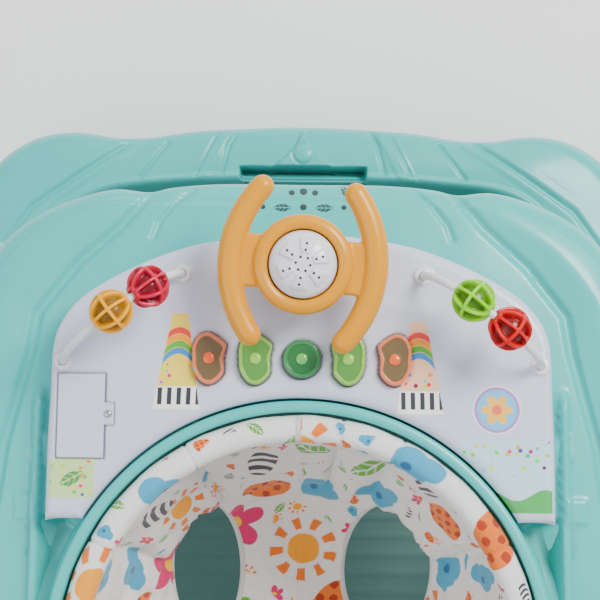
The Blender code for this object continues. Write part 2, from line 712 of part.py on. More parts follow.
def make_arches(parts, cutters):
    for side, word, colours in (
        (-1, "left", (("outer", "yellow"), ("inner", "pink"))),
        (1, "right", (("outer", "red"), ("inner", "lime"))),
    ):
        local = arch_frame(side)
        path = [(-ARCH_R, 0, -0.0150), (-ARCH_R, 0, -0.0060)]
        path += [
            (-ARCH_R * math.cos(a), 0, ARCH_R * math.sin(a))
            for a in np.linspace(0, math.pi, 17)
        ]
        path += [(ARCH_R, 0, -0.0060), (ARCH_R, 0, -0.0150)]
        bar = wire("bead_wire_" + word, path, WIRE_R, parts, 6)
        bar.data.transform(local)
        finish(bar, "wheel_white", local.translation)
        for (place, colour), way in zip(colours, (-1, 1)):
            angle = way * BEAD_ANGLE + BEAD_SHIFT[side]
            centre = (ARCH_R * math.sin(angle), 0, ARCH_R * math.cos(angle))
            grid = bmesh.new()
            bmesh.ops.create_uvsphere(grid, u_segments=12, v_segments=8, radius=BEAD_R)
            grid.transform(Matrix.Translation(centre) @ Matrix.Rotation(angle + math.pi / 2, 4, "Y"))
            mesh = bpy.data.meshes.new("bead")
            grid.to_mesh(mesh)
            grid.free()
            bead = bpy.data.objects.new("bead_%s_%s" % (word, place), mesh)
            parts.objects.link(bead)
            bore_path = [
                (ARCH_R * math.sin(a), 0, ARCH_R * math.cos(a))
                for a in np.linspace(angle - 0.36, angle + 0.36, 7)
            ]
            bore = wire("bore", bore_path, WIRE_R + 0.0007, cutters, 6)
            bead = cut(bead, bore)
            bead.data.transform(local)
            finish(bead, colour, local.translation)


def make_seat(parts, cutters):
    centre = Matrix.Translation((*RING_CENTRE, 0))
    rim = lathe(
        "seat_rim",
        [(0.1570, 0.4200), (0.1650, 0.4240), (0.1730, 0.4200), (0.1756, 0.4110), (0.1730, 0.4020),
         (0.1650, 0.3985), (0.1570, 0.4020), (0.1545, 0.4110)],
        parts, 32, centre,
    )
    finish(rim, "fabric")
    bowl = lathe(
        "seat_sling",
        [(0.1725, 0.3980), (0.1705, 0.3720), (0.1570, 0.3220), (0.1350, 0.2740), (0.1070, 0.2340),
         (0.0650, 0.2090), (0.0, 0.2000), (0.0, 0.2035), (0.0640, 0.2125), (0.1050, 0.2368),
         (0.1325, 0.2760), (0.1540, 0.3233), (0.1670, 0.3724), (0.1690, 0.3980)],
        parts, 28, centre,
    )
    for side in (-1, 1):
        turns = np.linspace(0, 2 * math.pi, 20, endpoint=False)
        shape = [(side * 0.078 + 0.034 * math.cos(a), -0.050 + 0.060 * math.sin(a)) for a in turns]
        bowl = cut(bowl, plate("leg", shape, 0.15, 0.33, cutters))
    finish(bowl, "fabric_mesh")
    rings = []
    for s in np.linspace(0, 1, 6):
        z = 0.356 + 0.114 * s
        thick = 0.010 * math.sqrt(max(0.0, 1 - (2 * s - 1) ** 4)) + 0.002
        reach = 0.75 * (1 - 0.25 * s**3)
        turns = np.linspace(-reach, reach, 9)
        front = [((0.1530 - thick) * math.sin(a), -(0.1530 - thick) * math.cos(a)) for a in turns]
        back = [(0.1535 * math.sin(a), -0.1535 * math.cos(a)) for a in turns[::-1]]
        ring = np.array(front + back) + RING_CENTRE
        rings.append(np.column_stack([ring, np.full(len(ring), z)]))
    finish(loft("seat_back", rings, parts, caps=True), "fabric")


def main():
    clear_scene()
    parts = collection("baby_walker")
    cutters = collection("cutters", hidden=True)
    make_base(parts, cutters)
    make_casters(parts, cutters)
    make_frame(parts, cutters)
    make_tray(parts, cutters)
    make_console(parts, cutters)
    make_steering(parts, cutters)
    make_buttons(parts, cutters)
    make_arches(parts, cutters)
    make_seat(parts, cutters)
    for obj in cutters.objects:
        obj.hide_render = True
        obj.display_type = "WIRE"


main()
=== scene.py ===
"""Baby walker: the detailed visual model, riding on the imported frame. Metres, +Y front, +Z up."""

import math

import bmesh
import bpy
import numpy as np
from mathutils import Matrix, Vector


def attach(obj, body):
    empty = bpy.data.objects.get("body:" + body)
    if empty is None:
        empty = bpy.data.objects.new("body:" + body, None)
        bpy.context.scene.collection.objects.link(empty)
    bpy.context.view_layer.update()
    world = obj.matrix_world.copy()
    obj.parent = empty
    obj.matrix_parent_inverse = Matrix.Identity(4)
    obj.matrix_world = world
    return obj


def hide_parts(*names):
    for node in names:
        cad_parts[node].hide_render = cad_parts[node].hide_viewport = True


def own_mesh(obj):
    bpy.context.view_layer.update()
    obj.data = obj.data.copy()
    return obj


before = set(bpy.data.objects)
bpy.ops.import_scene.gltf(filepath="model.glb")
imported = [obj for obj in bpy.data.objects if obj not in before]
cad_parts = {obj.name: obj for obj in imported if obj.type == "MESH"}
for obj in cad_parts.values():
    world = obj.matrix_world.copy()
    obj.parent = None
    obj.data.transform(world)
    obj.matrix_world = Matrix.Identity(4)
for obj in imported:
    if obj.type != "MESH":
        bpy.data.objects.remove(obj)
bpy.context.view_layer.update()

FINE = 1.0

# ------------------------------------------------------------------ sizes

RING = np.array([0.0, -0.113])
RING_R = 0.176
BAND_R = 0.1845
CONSOLE_TOP = 0.425
POST_Y = 0.171
STEER_TILT = math.radians(8.0)
STEER_TURN = math.radians(-4.5)
BUTTON_Y = 0.1012
BUTTON_X = 0.034
ARCH_R = 0.0542
ARCH_DROP = 0.0042
ARCH_ENDS = ((0.175, 0.098), (0.089, 0.164))
BEAD_R = 0.0156
BEAD_ANGLE = math.radians(17.2)
BEAD_SHIFT = {-1: math.radians(14.0), 1: math.radians(-2.0)}
REAR_Y, LOW_Z, HIGH_Z, TUBE_L = -0.272, 0.070, 0.360, 0.478

BASE_OUTER = (
    (0, 361), (60, 359), (110, 356), (150, 350), (185, 350), (225, 356), (264, 350), (300, 326),
    (321, 285), (327, 220), (322, 120), (317, 0), (317, -120), (322, -220), (320, -290),
    (300, -334), (255, -356), (180, -361), (90, -358), (0, -357),
)
BASE_INNER = (
    (0, 305), (70, 305), (130, 302), (186, 294), (222, 274), (239, 238), (242, 150), (242, 0),
    (242, -150), (243, -240), (244, -292), (236, -308), (212, -313), (120, -313), (0, -313),
)
TRAY_OUTER = (
    (0, 243), (62, 243), (100, 240), (120, 236), (146, 238), (172, 232), (202, 219), (230, 197),
    (249, 162), (257, 110), (259, 30), (258, -80), (256, -180), (247, -262), (222, -308),
    (168, -331), (90, -336), (0, -336),
)
PANEL_FRONT = (
    (0, 196.5), (63, 190), (97, 181.5), (133, 166), (162, 148), (177, 130), (183.5, 110),
    (184.5, 73), (185.5, 37), (185.5, -2), (185.5, -60), (186, -200), (120, -300), (0, -320),
)
SIDE_BUTTON = (
    (-1, 0.0), (-0.97, 0.48), (-0.66, 0.86), (-0.12, 1.0), (0.46, 0.84), (0.98, 0.56), (0.93, 0.26),
    (0.86, 0.0), (0.88, -0.30), (0.84, -0.60), (0.42, -0.90), (-0.04, -1.0), (-0.52, -0.86),
    (-0.92, -0.46),
)


# ------------------------------------------------------------------ numbers to meshes

def steps(count):
    return max(8, int(count * FINE))


def ease(low, high, x):
    """0 below low, 1 above high, and an S curve between."""
    t = np.clip((x - low) / (high - low), 0, 1)
    return t * t * (3 - 2 * t)


def bump(distance, width):
    """A rounded ridge: 1 on the line, 0 at width and beyond."""
    t = np.clip(np.abs(distance) / width, 0, 1)
    return (1 - t * t) ** 2


def smooth_loop(points, count, mirrored=True):
    """A closed curve through the points, by cubic interpolation, at equal steps along it."""
    points = np.array(points, float) / 1000
    if mirrored:
        back = points[::-1] * (-1, 1)
        points = np.concatenate([points, back[1:-1]])
    before, after, later = (np.roll(points, k, 0) for k in (1, -1, -2))
    s = np.linspace(0, 1, 16, endpoint=False)[:, None, None]
    dense = (
        (-0.5 * s + s * s - 0.5 * s**3) * before + (1 - 2.5 * s * s + 1.5 * s**3) * points
        + (0.5 * s + 2 * s * s - 1.5 * s**3) * after + (-0.5 * s * s + 0.5 * s**3) * later
    )
    dense = dense.transpose(1, 0, 2).reshape(-1, 2)
    run = np.linalg.norm(np.roll(dense, -1, 0) - dense, axis=1)
    along = np.concatenate([[0], np.cumsum(run)])
    ring = np.vstack([dense, dense[:1]])
    places = np.linspace(0, along[-1], count, endpoint=False)
    return np.stack([np.interp(places, along, ring[:, i]) for i in (0, 1)], 1)


def star_radius(points, centre, turns):
    """The closed curve's distance from centre in each direction, angles clockwise from +Y."""
    dense = smooth_loop(points, 2880) - centre
    angle = np.arctan2(dense[:, 0], dense[:, 1]) % (2 * np.pi)
    order = np.argsort(angle)
    radius = np.hypot(*dense.T)[order]
    return np.interp(turns, angle[order], radius, period=2 * np.pi)


def segment_distance(x, y, line):
    """Distance from points to a line of straight pieces given in millimetres."""
    best = np.full(np.shape(x), 1e9)
    line = np.array(line, float) / 1000
    for a, b in zip(line[:-1], line[1:]):
        run = b - a
        t = np.clip(((x - a[0]) * run[0] + (y - a[1]) * run[1]) / (run @ run), 0, 1)
        best = np.minimum(best, np.hypot(x - a[0] - t * run[0], y - a[1] - t * run[1]))
    return best


def finish_mesh(obj, body, material, replaces=(), smooth=True):
    obj.data.materials.clear()
    obj.data.materials.append(material)
    obj.data.polygons.foreach_set("use_smooth", np.full(len(obj.data.polygons), smooth))
    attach(obj, body)
    if replaces:
        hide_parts(*replaces)
    return obj


def surface(name, points, wrap_u=False, wrap_v=False, uv=None, weld=True):
    """A sheet of quads over points[u, v]; it closes on itself where wrapped, and faces outwards."""
    points = np.asarray(points, float)
    m, n = points.shape[:2]
    i = np.arange(m if wrap_u else m - 1)[:, None]
    j = np.arange(n if wrap_v else n - 1)[None, :]
    i2, j2 = (i + 1) % m, (j + 1) % n
    quads = np.stack([i * n + j, i2 * n + j, i2 * n + j2, i * n + j2], -1).reshape(-1, 4)
    flat = points.reshape(-1, 3)
    corners = flat[quads] - flat.mean(0)
    volume = np.einsum("ij,ij->i", corners[:, 0], np.cross(corners[:, 1], corners[:, 2])).sum()
    volume += np.einsum("ij,ij->i", corners[:, 0], np.cross(corners[:, 2], corners[:, 3])).sum()
    if volume < 0:
        quads = quads[:, ::-1]
    mesh = bpy.data.meshes.new(name)
    mesh.vertices.add(m * n)
    mesh.vertices.foreach_set("co", flat.ravel())
    mesh.loops.add(quads.size)
    mesh.loops.foreach_set("vertex_index", quads.ravel())
    mesh.polygons.add(len(quads))
    mesh.polygons.foreach_set("loop_start", np.arange(len(quads)) * 4)
    mesh.update(calc_edges=True)
    if uv is not None:
        layer = mesh.uv_layers.new(name="flat")
        layer.data.foreach_set("uv", np.asarray(uv, float).reshape(-1, 2)[quads.ravel()].ravel())
    if weld:
        grid = bmesh.new()
        grid.from_mesh(mesh)
        bmesh.ops.remove_doubles(grid, verts=grid.verts, dist=2e-6)
        grid.to_mesh(mesh)
        grid.free()
    obj = bpy.data.objects.new(name, mesh)
    bpy.context.scene.collection.objects.link(obj)
    return obj


def mark(obj, name, values):
    """Stores one number per vertex under that name, for the material to read."""
    layer = obj.data.attributes.new(name, "FLOAT", "POINT")
    layer.data.foreach_set("value", np.asarray(values, np.float32).ravel())


def coords(obj):
    found = np.empty(len(obj.data.vertices) * 3)
    obj.data.vertices.foreach_get("co", found)
    return found.reshape(-1, 3)


def join(name, pieces):
    """Several new pieces as one mesh."""
    grid = bmesh.new()
    for piece in pieces:
        piece.data.transform(piece.matrix_world)
        grid.from_mesh(piece.data)
        bpy.data.objects.remove(piece, do_unlink=True)
    mesh = bpy.data.meshes.new(name)
    grid.to_mesh(mesh)
    grid.free()
    obj = bpy.data.objects.new(name, mesh)
    bpy.context.scene.collection.objects.link(obj)
    return obj


def turned(name, profile, count=64, matrix=None, dense=True):
    """A surface of revolution: a smooth profile of (radius, height) swept round local Z."""
    profile = np.array(profile, float)
    if dense:
        profile = soften(profile)
    turns = np.linspace(0, 2 * np.pi, steps(count), endpoint=False)[:, None]
    points = np.stack(
        [profile[:, 0] * np.cos(turns), profile[:, 0] * np.sin(turns), profile[:, 1] + 0 * turns], -1
    )
    closed = profile[0][0] > 1e-6
    obj = surface(name, points, wrap_u=True, wrap_v=closed)
    if matrix is not None:
        obj.data.transform(matrix)
    return obj


def soften(profile, radius=0.0006):
    """The profile with each corner cut by a small quarter round, so that edges catch the light."""
    out = [profile[0]]
    for a, b, c in zip(profile[:-2], profile[1:-1], profile[2:]):
        before, after = a - b, c - b
        la, lc = np.linalg.norm(before), np.linalg.norm(after)
        if min(la, lc) < 1e-6:
            out.append(b)
            continue
        cut = min(radius, la * 0.4, lc * 0.4)
        start, end = b + before / la * cut, b + after / lc * cut
        for t in (0, 0.33, 0.67, 1):
            out.append((1 - t) ** 2 * start + 2 * t * (1 - t) * b + t * t * end)
    out.append(profile[-1])
    return np.array(out)


def sweep(name, path, radius, sides=24, closed=False, round_ends=True, squeeze=1.0):
    """A round bar: circles of that radius carried along a path in one plane, ends domed."""
    path = np.array(path, float)
    radius = np.broadcast_to(np.asarray(radius, float), (len(path),)).copy()
    if closed:
        along = np.roll(path, -1, 0) - np.roll(path, 1, 0)
    else:
        along = np.gradient(path, axis=0)
    along /= np.linalg.norm(along, axis=1, keepdims=True)
    flat = np.linalg.svd(path - path.mean(0))[2][2]
    side = np.cross(along, flat)
    side /= np.linalg.norm(side, axis=1, keepdims=True)
    up = np.cross(side, along)
    if round_ends and not closed:
        angles = np.linspace(0, np.pi / 2, 7)[:-1]
        lead = [path[0] - along[0] * radius[0] * math.cos(a) for a in angles]
        tail = [path[-1] + along[-1] * radius[-1] * math.cos(a) for a in angles[::-1]]
        size = [radius[0] * math.sin(a) for a in angles]
        path = np.vstack([lead, path, tail])
        radius = np.concatenate([size, radius, size[::-1]])
        side = np.vstack([np.repeat(side[:1], 6, 0), side, np.repeat(side[-1:], 6, 0)])
        up = np.vstack([np.repeat(up[:1], 6, 0), up, np.repeat(up[-1:], 6, 0)])
    turns = np.linspace(0, 2 * np.pi, sides, endpoint=False)
    ring = np.cos(turns)[None, :, None] * side[:, None] * squeeze
    ring = ring + np.sin(turns)[None, :, None] * up[:, None]
    points = path[:, None] + ring * radius[:, None, None]
    return surface(name, points, wrap_u=closed, wrap_v=True)


def slab(name, outline, low, high, rounding=0.001, rings=5, centre=None, crown=0.0):
    """A flat piece: its outline carried up the side, round the edge and in to the middle."""
    outline = np.array(outline, float)
    middle = outline.mean(0) if centre is None else np.array(centre)
    run = np.roll(outline, -1, 0) - np.roll(outline, 1, 0)
    normal = np.stack([run[:, 1], -run[:, 0]], 1)
    normal /= np.linalg.norm(normal, axis=1, keepdims=True)
    if np.einsum("ij,ij->i", normal, outline - middle).mean() < 0:
        normal = -normal
    rows = [np.column_stack([outline, np.full(len(outline), low)])]
    for a in np.linspace(0, np.pi / 2, rings):
        inset = rounding * (1 - math.cos(a))
        lift = high - rounding * (1 - math.sin(a))
        rows.append(np.column_stack([outline - normal * inset, np.full(len(outline), lift)]))
    edge = outline - normal * rounding
    for t in (0.1, 0.3, 0.5, 0.7, 0.85, 1.0):
        height = high + crown * (1 - (1 - t) ** 2)
        rows.append(np.column_stack([edge + (middle - edge) * t, np.full(len(outline), height)]))
    rows.insert(0, np.column_stack([middle + 0 * outline, np.full(len(outline), low)]))
    return surface(name, np.array(rows), wrap_v=True)


def box_piece(name, low, high, rounding=0.001):
    """A block with rounded edges, as a rounded square carried round and closed at both ends."""
    low, high = np.minimum(low, high), np.maximum(low, high)
    x0, y0, z0 = low
    x1, y1, z1 = high
    r = min(rounding, (x1 - x0) * 0.45, (y1 - y0) * 0.45, (z1 - z0) * 0.45)
    outline = []
    for cx, cy, start in ((x1 - r, y1 - r, 0), (x0 + r, y1 - r, 1), (x0 + r, y0 + r, 2),
                          (x1 - r, y0 + r, 3)):
        for a in np.linspace(0, math.pi / 2, 4) + start * math.pi / 2:
            outline.append((cx + r * math.cos(a), cy + r * math.sin(a)))
    return slab(name, outline, z0, z1, r, 4)


# ------------------------------------------------------------------ shader building

class Value:
    """A socket with arithmetic, so that a shader reads like a formula."""

    def __init__(self, tree, socket):
        self.tree, self.socket = tree, socket

    def _do(self, kind, *others, clamp=False):
        node = self.tree.nodes.new("ShaderNodeMath")
        node.operation = kind
        node.use_clamp = clamp
        for slot_, value in zip(node.inputs, (self, *others)):
            plug(self.tree, slot_, value)
        return Value(self.tree, node.outputs[0])

    def __add__(self, other):
        return self._do("ADD", other)

    def __sub__(self, other):
        return self._do("SUBTRACT", other)

    def __mul__(self, other):
        return self._do("MULTIPLY", other)

    def __truediv__(self, other):
        return self._do("DIVIDE", other)

    def do(self, kind, *others):
        return self._do(kind, *others)

    def above(self, low, high):
        """0 below low, 1 above high; swap the two for the reverse."""
        node = self.tree.nodes.new("ShaderNodeMapRange")
        node.interpolation_type = "SMOOTHSTEP"
        plug(self.tree, node.inputs["Value"], self)
        if low < high:
            ends, outs = (low, high), (0.0, 1.0)
        else:
            ends, outs = (high, low), (1.0, 0.0)
        node.inputs["From Min"].default_value, node.inputs["From Max"].default_value = ends
        node.inputs["To Min"].default_value, node.inputs["To Max"].default_value = outs
        return Value(self.tree, node.outputs["Result"])


def plug(tree, slot_, value):
    if isinstance(value, Value):
        tree.links.new(value.socket, slot_)
    elif hasattr(value, "is_output"):
        tree.links.new(value, slot_)
    elif isinstance(value, (tuple, list)) and len(value) == 3 and slot_.type == "RGBA":
        slot_.default_value = (*value, 1.0)
    else:
        slot_.default_value = value


def node(tree, kind, **inputs):
    made = tree.nodes.new(kind)
    for name, value in inputs.items():
        plug(tree, made.inputs[name.replace("_", " ")], value)
    return made


def mix(tree, mask, a, b):
    made = tree.nodes.new("ShaderNodeMix")
    made.data_type = "RGBA"
    plug(tree, made.inputs["Factor"], mask)
    plug(tree, made.inputs[6], a)
    plug(tree, made.inputs[7], b)
    return made.outputs[2]


def object_xyz(tree):
    place = node(tree, "ShaderNodeTexCoord").outputs["Object"]
    split = node(tree, "ShaderNodeSeparateXYZ", Vector=place)
    return place, [Value(tree, split.outputs[i]) for i in range(3)]


def linear(red, green, blue):
    """A screen colour, 0 to 255, as scene-linear."""
    parts = np.array([red, green, blue]) / 255
    return tuple(np.where(parts <= 0.04045, parts / 12.92, ((parts + 0.055) / 1.055) ** 2.4))


def group(name, inputs, outputs):
    tree = bpy.data.node_groups.new(name, "ShaderNodeTree")
    for word, kind, value in inputs:
        made = tree.interface.new_socket(word, in_out="INPUT", socket_type=kind)
        if value is not None:
            made.default_value = value
    for word, kind in outputs:
        tree.interface.new_socket(word, in_out="OUTPUT", socket_type=kind)
    return tree, tree.nodes.new("NodeGroupInput"), tree.nodes.new("NodeGroupOutput")


def moulded_group():
    """Fine moulding texture and faint scuffs on plastic: gives a normal, a roughness and a tint."""
    tree, start, end = group(
        "moulded",
        [("Vector", "NodeSocketVector", None), ("Roughness", "NodeSocketFloat", 0.35),
         ("Grain", "NodeSocketFloat", 0.15), ("Scuffs", "NodeSocketFloat", 0.3)],
        [("Normal", "NodeSocketVector"), ("Roughness", "NodeSocketFloat"),
         ("Tint", "NodeSocketFloat")],
    )
    where = start.outputs["Vector"]
    fine = node(tree, "ShaderNodeTexNoise", Vector=where, Scale=2600.0, Detail=2.0)
    broad = node(tree, "ShaderNodeTexNoise", Vector=where, Scale=38.0, Detail=4.0)
    slow = node(tree, "ShaderNodeTexNoise", Vector=where, Scale=9.0, Detail=2.0)
    stretched = node(tree, "ShaderNodeMapping", Vector=where)
    stretched.inputs["Scale"].default_value = (900.0, 60.0, 300.0)
    stretched.inputs["Rotation"].default_value = (0.3, 0.2, 0.9)
    lines = node(tree, "ShaderNodeTexNoise", Vector=stretched.outputs[0], Scale=1.0, Detail=3.0)
    scratch = Value(tree, lines.outputs["Fac"]).above(0.66, 0.74)
    scratch = scratch * Value(tree, broad.outputs["Fac"]).above(0.50, 0.62)
    scratch = scratch * Value(tree, start.outputs["Scuffs"])
    height = Value(tree, fine.outputs["Fac"]) * 0.5 + Value(tree, broad.outputs["Fac"]) * 1.0
    height = height - scratch * 2.0
    relief = node(tree, "ShaderNodeBump", Height=height, Distance=0.00012)
    plug(tree, relief.inputs["Strength"], start.outputs["Grain"])
    rough = Value(tree, start.outputs["Roughness"])
    rough = rough + (Value(tree, broad.outputs["Fac"]) - 0.5) * 0.10 + scratch * 0.35
    tint = Value(tree, slow.outputs["Fac"]) * 0.05 + 0.975 - scratch * 0.03
    plug(tree, end.inputs["Normal"], relief.outputs["Normal"])
    plug(tree, end.inputs["Roughness"], rough)
    plug(tree, end.inputs["Tint"], tint)
    return tree


def weave_group():
    """Plain weave and soft lint on cloth: gives a normal and a shade."""
    tree, start, end = group(
        "weave",
        [("Vector", "NodeSocketVector", None), ("Threads", "NodeSocketFloat", 1500.0)],
        [("Normal", "NodeSocketVector"), ("Shade", "NodeSocketFloat")],
    )
    scaled = node(tree, "ShaderNodeVectorMath")
    scaled.operation = "SCALE"
    plug(tree, scaled.inputs[0], start.outputs["Vector"])
    plug(tree, scaled.inputs["Scale"], start.outputs["Threads"])
    split = node(tree, "ShaderNodeSeparateXYZ", Vector=scaled.outputs[0])
    u, v = Value(tree, split.outputs[0]), Value(tree, split.outputs[1])
    over = (u.do("SINE") * v.do("SINE")) * 0.5 + 0.5
    lint = node(tree, "ShaderNodeTexNoise", Vector=start.outputs["Vector"], Scale=420.0, Detail=3.0)
    height = over * 0.7 + Value(tree, lint.outputs["Fac"]) * 0.8
    relief = node(tree, "ShaderNodeBump", Height=height, Distance=0.0004, Strength=0.5)
    shade = over * 0.05 + Value(tree, lint.outputs["Fac"]) * 0.10 + 0.90
    plug(tree, end.inputs["Normal"], relief.outputs["Normal"])
    plug(tree, end.inputs["Shade"], shade)
    return tree


MOULDED = moulded_group()
WEAVE = weave_group()


def use(tree, made_group, **inputs):
    made = tree.nodes.new("ShaderNodeGroup")
    made.node_tree = made_group
    for name, value in inputs.items():
        plug(tree, made.inputs[name], value)
    return made


def scaled_colour(tree, colour, factor):
    made = tree.nodes.new("ShaderNodeVectorMath")
    made.operation = "SCALE"
    plug(tree, made.inputs[0], colour if not isinstance(colour, tuple) else Vector(colour))
    plug(tree, made.inputs["Scale"], factor)
    return made.outputs[0]


def plastic(name, colour, rough=0.35, grain=0.15, scuffs=0.3, sheen=0.0, art=None, **extra):
    """Moulded plastic. art(tree, place, xyz, colour) may return a changed colour."""
    made = bpy.data.materials.new(name)
    made.use_nodes = True
    tree = made.node_tree
    shader = tree.nodes["Principled BSDF"]
    place, xyz = object_xyz(tree)
    skin = use(tree, MOULDED, Vector=place, Roughness=rough, Grain=grain, Scuffs=scuffs)
    shown = colour
    if art:
        shown = art(tree, place, xyz, colour)
    plug(tree, shader.inputs["Base Color"], scaled_colour(tree, shown, skin.outputs["Tint"]))
    plug(tree, shader.inputs["Roughness"], skin.outputs["Roughness"])
    plug(tree, shader.inputs["Normal"], skin.outputs["Normal"])
    shader.inputs["Subsurface Weight"].default_value = 0.06
    shader.inputs["Subsurface Radius"].default_value = (0.004, 0.004, 0.004)
    shader.inputs["Coat Weight"].default_value = sheen
    shader.inputs["Coat Roughness"].default_value = 0.12
    for word, value in extra.items():
        shader.inputs[word.replace("_", " ")].default_value = value
    return made


# ------------------------------------------------------------------ colours and finishes

TEAL = linear(60, 190, 184)
# Dark grey teal: the colour of the rails and brackets; on the foot mat it is painted shade, the mat darkened
# to its shaded look under the seat.
DARK_TEAL_AND_MAT_SHADE = linear(78, 114, 107)
WHITE = linear(204, 209, 226)
YELLOW = linear(222, 148, 0)
PINK = linear(206, 14, 58)
ORANGE = linear(232, 100, 30)


def leaf_mask(x, y, centre, size, turn):
    """1 inside a pointed leaf: two arcs that meet at both tips, with a pale midrib."""
    c, s = math.cos(turn), math.sin(turn)
    dx, dy = x - centre[0], y - centre[1]
    u = (dx * c + dy * s) * (1 / size)
    v = (dy * c - dx * s) * (1 / size)
    width = (u * u) * -0.45 + 0.45
    inside = (width - v.do("ABSOLUTE")).above(0.0, 0.05)
    rib = v.do("ABSOLUTE").above(0.03, 0.06)
    veins = ((u + v.do("ABSOLUTE")) * 14.0).do("SINE").above(-0.9, -0.6)
    return inside * rib * (veins * 0.6 + 0.4)


def dot_mask(x, y, centre, radius):
    dx, dy = x - centre[0], y - centre[1]
    return (dx * dx + dy * dy).do("SQRT").above(radius * 1.05, radius * 0.95)


def tray_art(tree, xyz, colour):
    """A small printed sprig of leaves and dots at the middle of the tray's front edge."""
    x, y, _ = xyz
    shown = colour
    for cx, cy, size, turn, paint_ in (
        (-0.030, 0.2330, 0.0085, 0.9, linear(120, 190, 0)), (0.034, 0.2335, 0.0085, -0.9, linear(40, 60, 62)),
        (-0.044, 0.2215, 0.0070, 0.3, linear(38, 60, 60)), (0.046, 0.2205, 0.0080, 2.2, linear(120, 190, 0)),
        (-0.016, 0.2205, 0.0075, 0.0, linear(38, 60, 60)), (0.016, 0.2205, 0.0075, 0.0, linear(38, 60, 60)),
    ):
        shown = mix(tree, leaf_mask(x, y, (cx, cy), size, turn), shown, paint_)
    for cx, cy, radius in ((-0.009, 0.2335, 0.0024), (0.0, 0.2345, 0.0030), (0.009, 0.2335, 0.0024),
                           (0.0, 0.2210, 0.0026), (-0.031, 0.2210, 0.0020), (0.031, 0.2210, 0.0020)):
        shown = mix(tree, dot_mask(x, y, (cx, cy), radius), shown, linear(38, 60, 60))
    return shown


def shaded_art(painted_shade):
    """Plastic with painted shade: it darkens towards the given colour where the vertex mark for painted shade
    says so, as at the bottom of a slot.
    """
    def art(tree, place, xyz, colour):
        made = tree.nodes.new("ShaderNodeAttribute")
        made.attribute_name = "painted_shade"
        return mix(tree, made.outputs["Fac"], colour, painted_shade)
    return art


# Painted shade: the base turns dark teal in its front slot, through the vertex mark.
M_BASE = plastic("teal_base", TEAL, 0.34, 0.12, 0.3, 0.15, shaded_art(linear(28, 96, 88)))


# The printed sprig, then painted shade: a darker teal in the tray's pockets and rear dip.
def tray_print_and_painted_shade(tree, place, xyz, colour):
    return shaded_art(linear(60, 140, 132))(tree, place, xyz, tray_art(tree, xyz, colour))


M_TRAY = plastic("teal_tray", TEAL, 0.32, 0.10, 0.3, 0.2, tray_print_and_painted_shade)
# Painted shade: the foot mat takes the dark grey teal of its shaded look under the seat.
M_MAT = plastic("teal_mat", DARK_TEAL_AND_MAT_SHADE, 0.62, 0.35, 0.5)
M_YELLOW = plastic("yellow", YELLOW, 0.26, 0.10, 0.3, 0.0, None, Specular_IOR_Level=0.35)
M_BLACK = plastic("black_plastic", (0.018, 0.018, 0.019), 0.5, 0.35)
M_WHEEL = plastic("caster_white", linear(232, 232, 230), 0.38, 0.15, 0.6)
M_RUBBER = plastic("rubber", (0.02, 0.02, 0.02), 0.8, 0.5)
M_ORANGE = plastic("orange_grip", ORANGE, 0.35, 0.2)
M_WIRE = plastic("wire_white", linear(226, 226, 228), 0.25, 0.06, 0.2, 0.2)
M_TUBE = plastic("tube_white", linear(232, 232, 230), 0.28, 0.2, 0.4, 0.3)
M_STEEL = plastic("steel", (0.55, 0.55, 0.56), 0.28, 0.3, 0.8, 0.0, None, Metallic=1.0)
M_CELL = plastic("cell", (0.16, 0.17, 0.20), 0.35, 0.1, 0.3, 0.0, None, Metallic=0.6)
M_BOARD = plastic("board", (0.02, 0.15, 0.05), 0.45, 0.2)


# ------------------------------------------------------------------ base

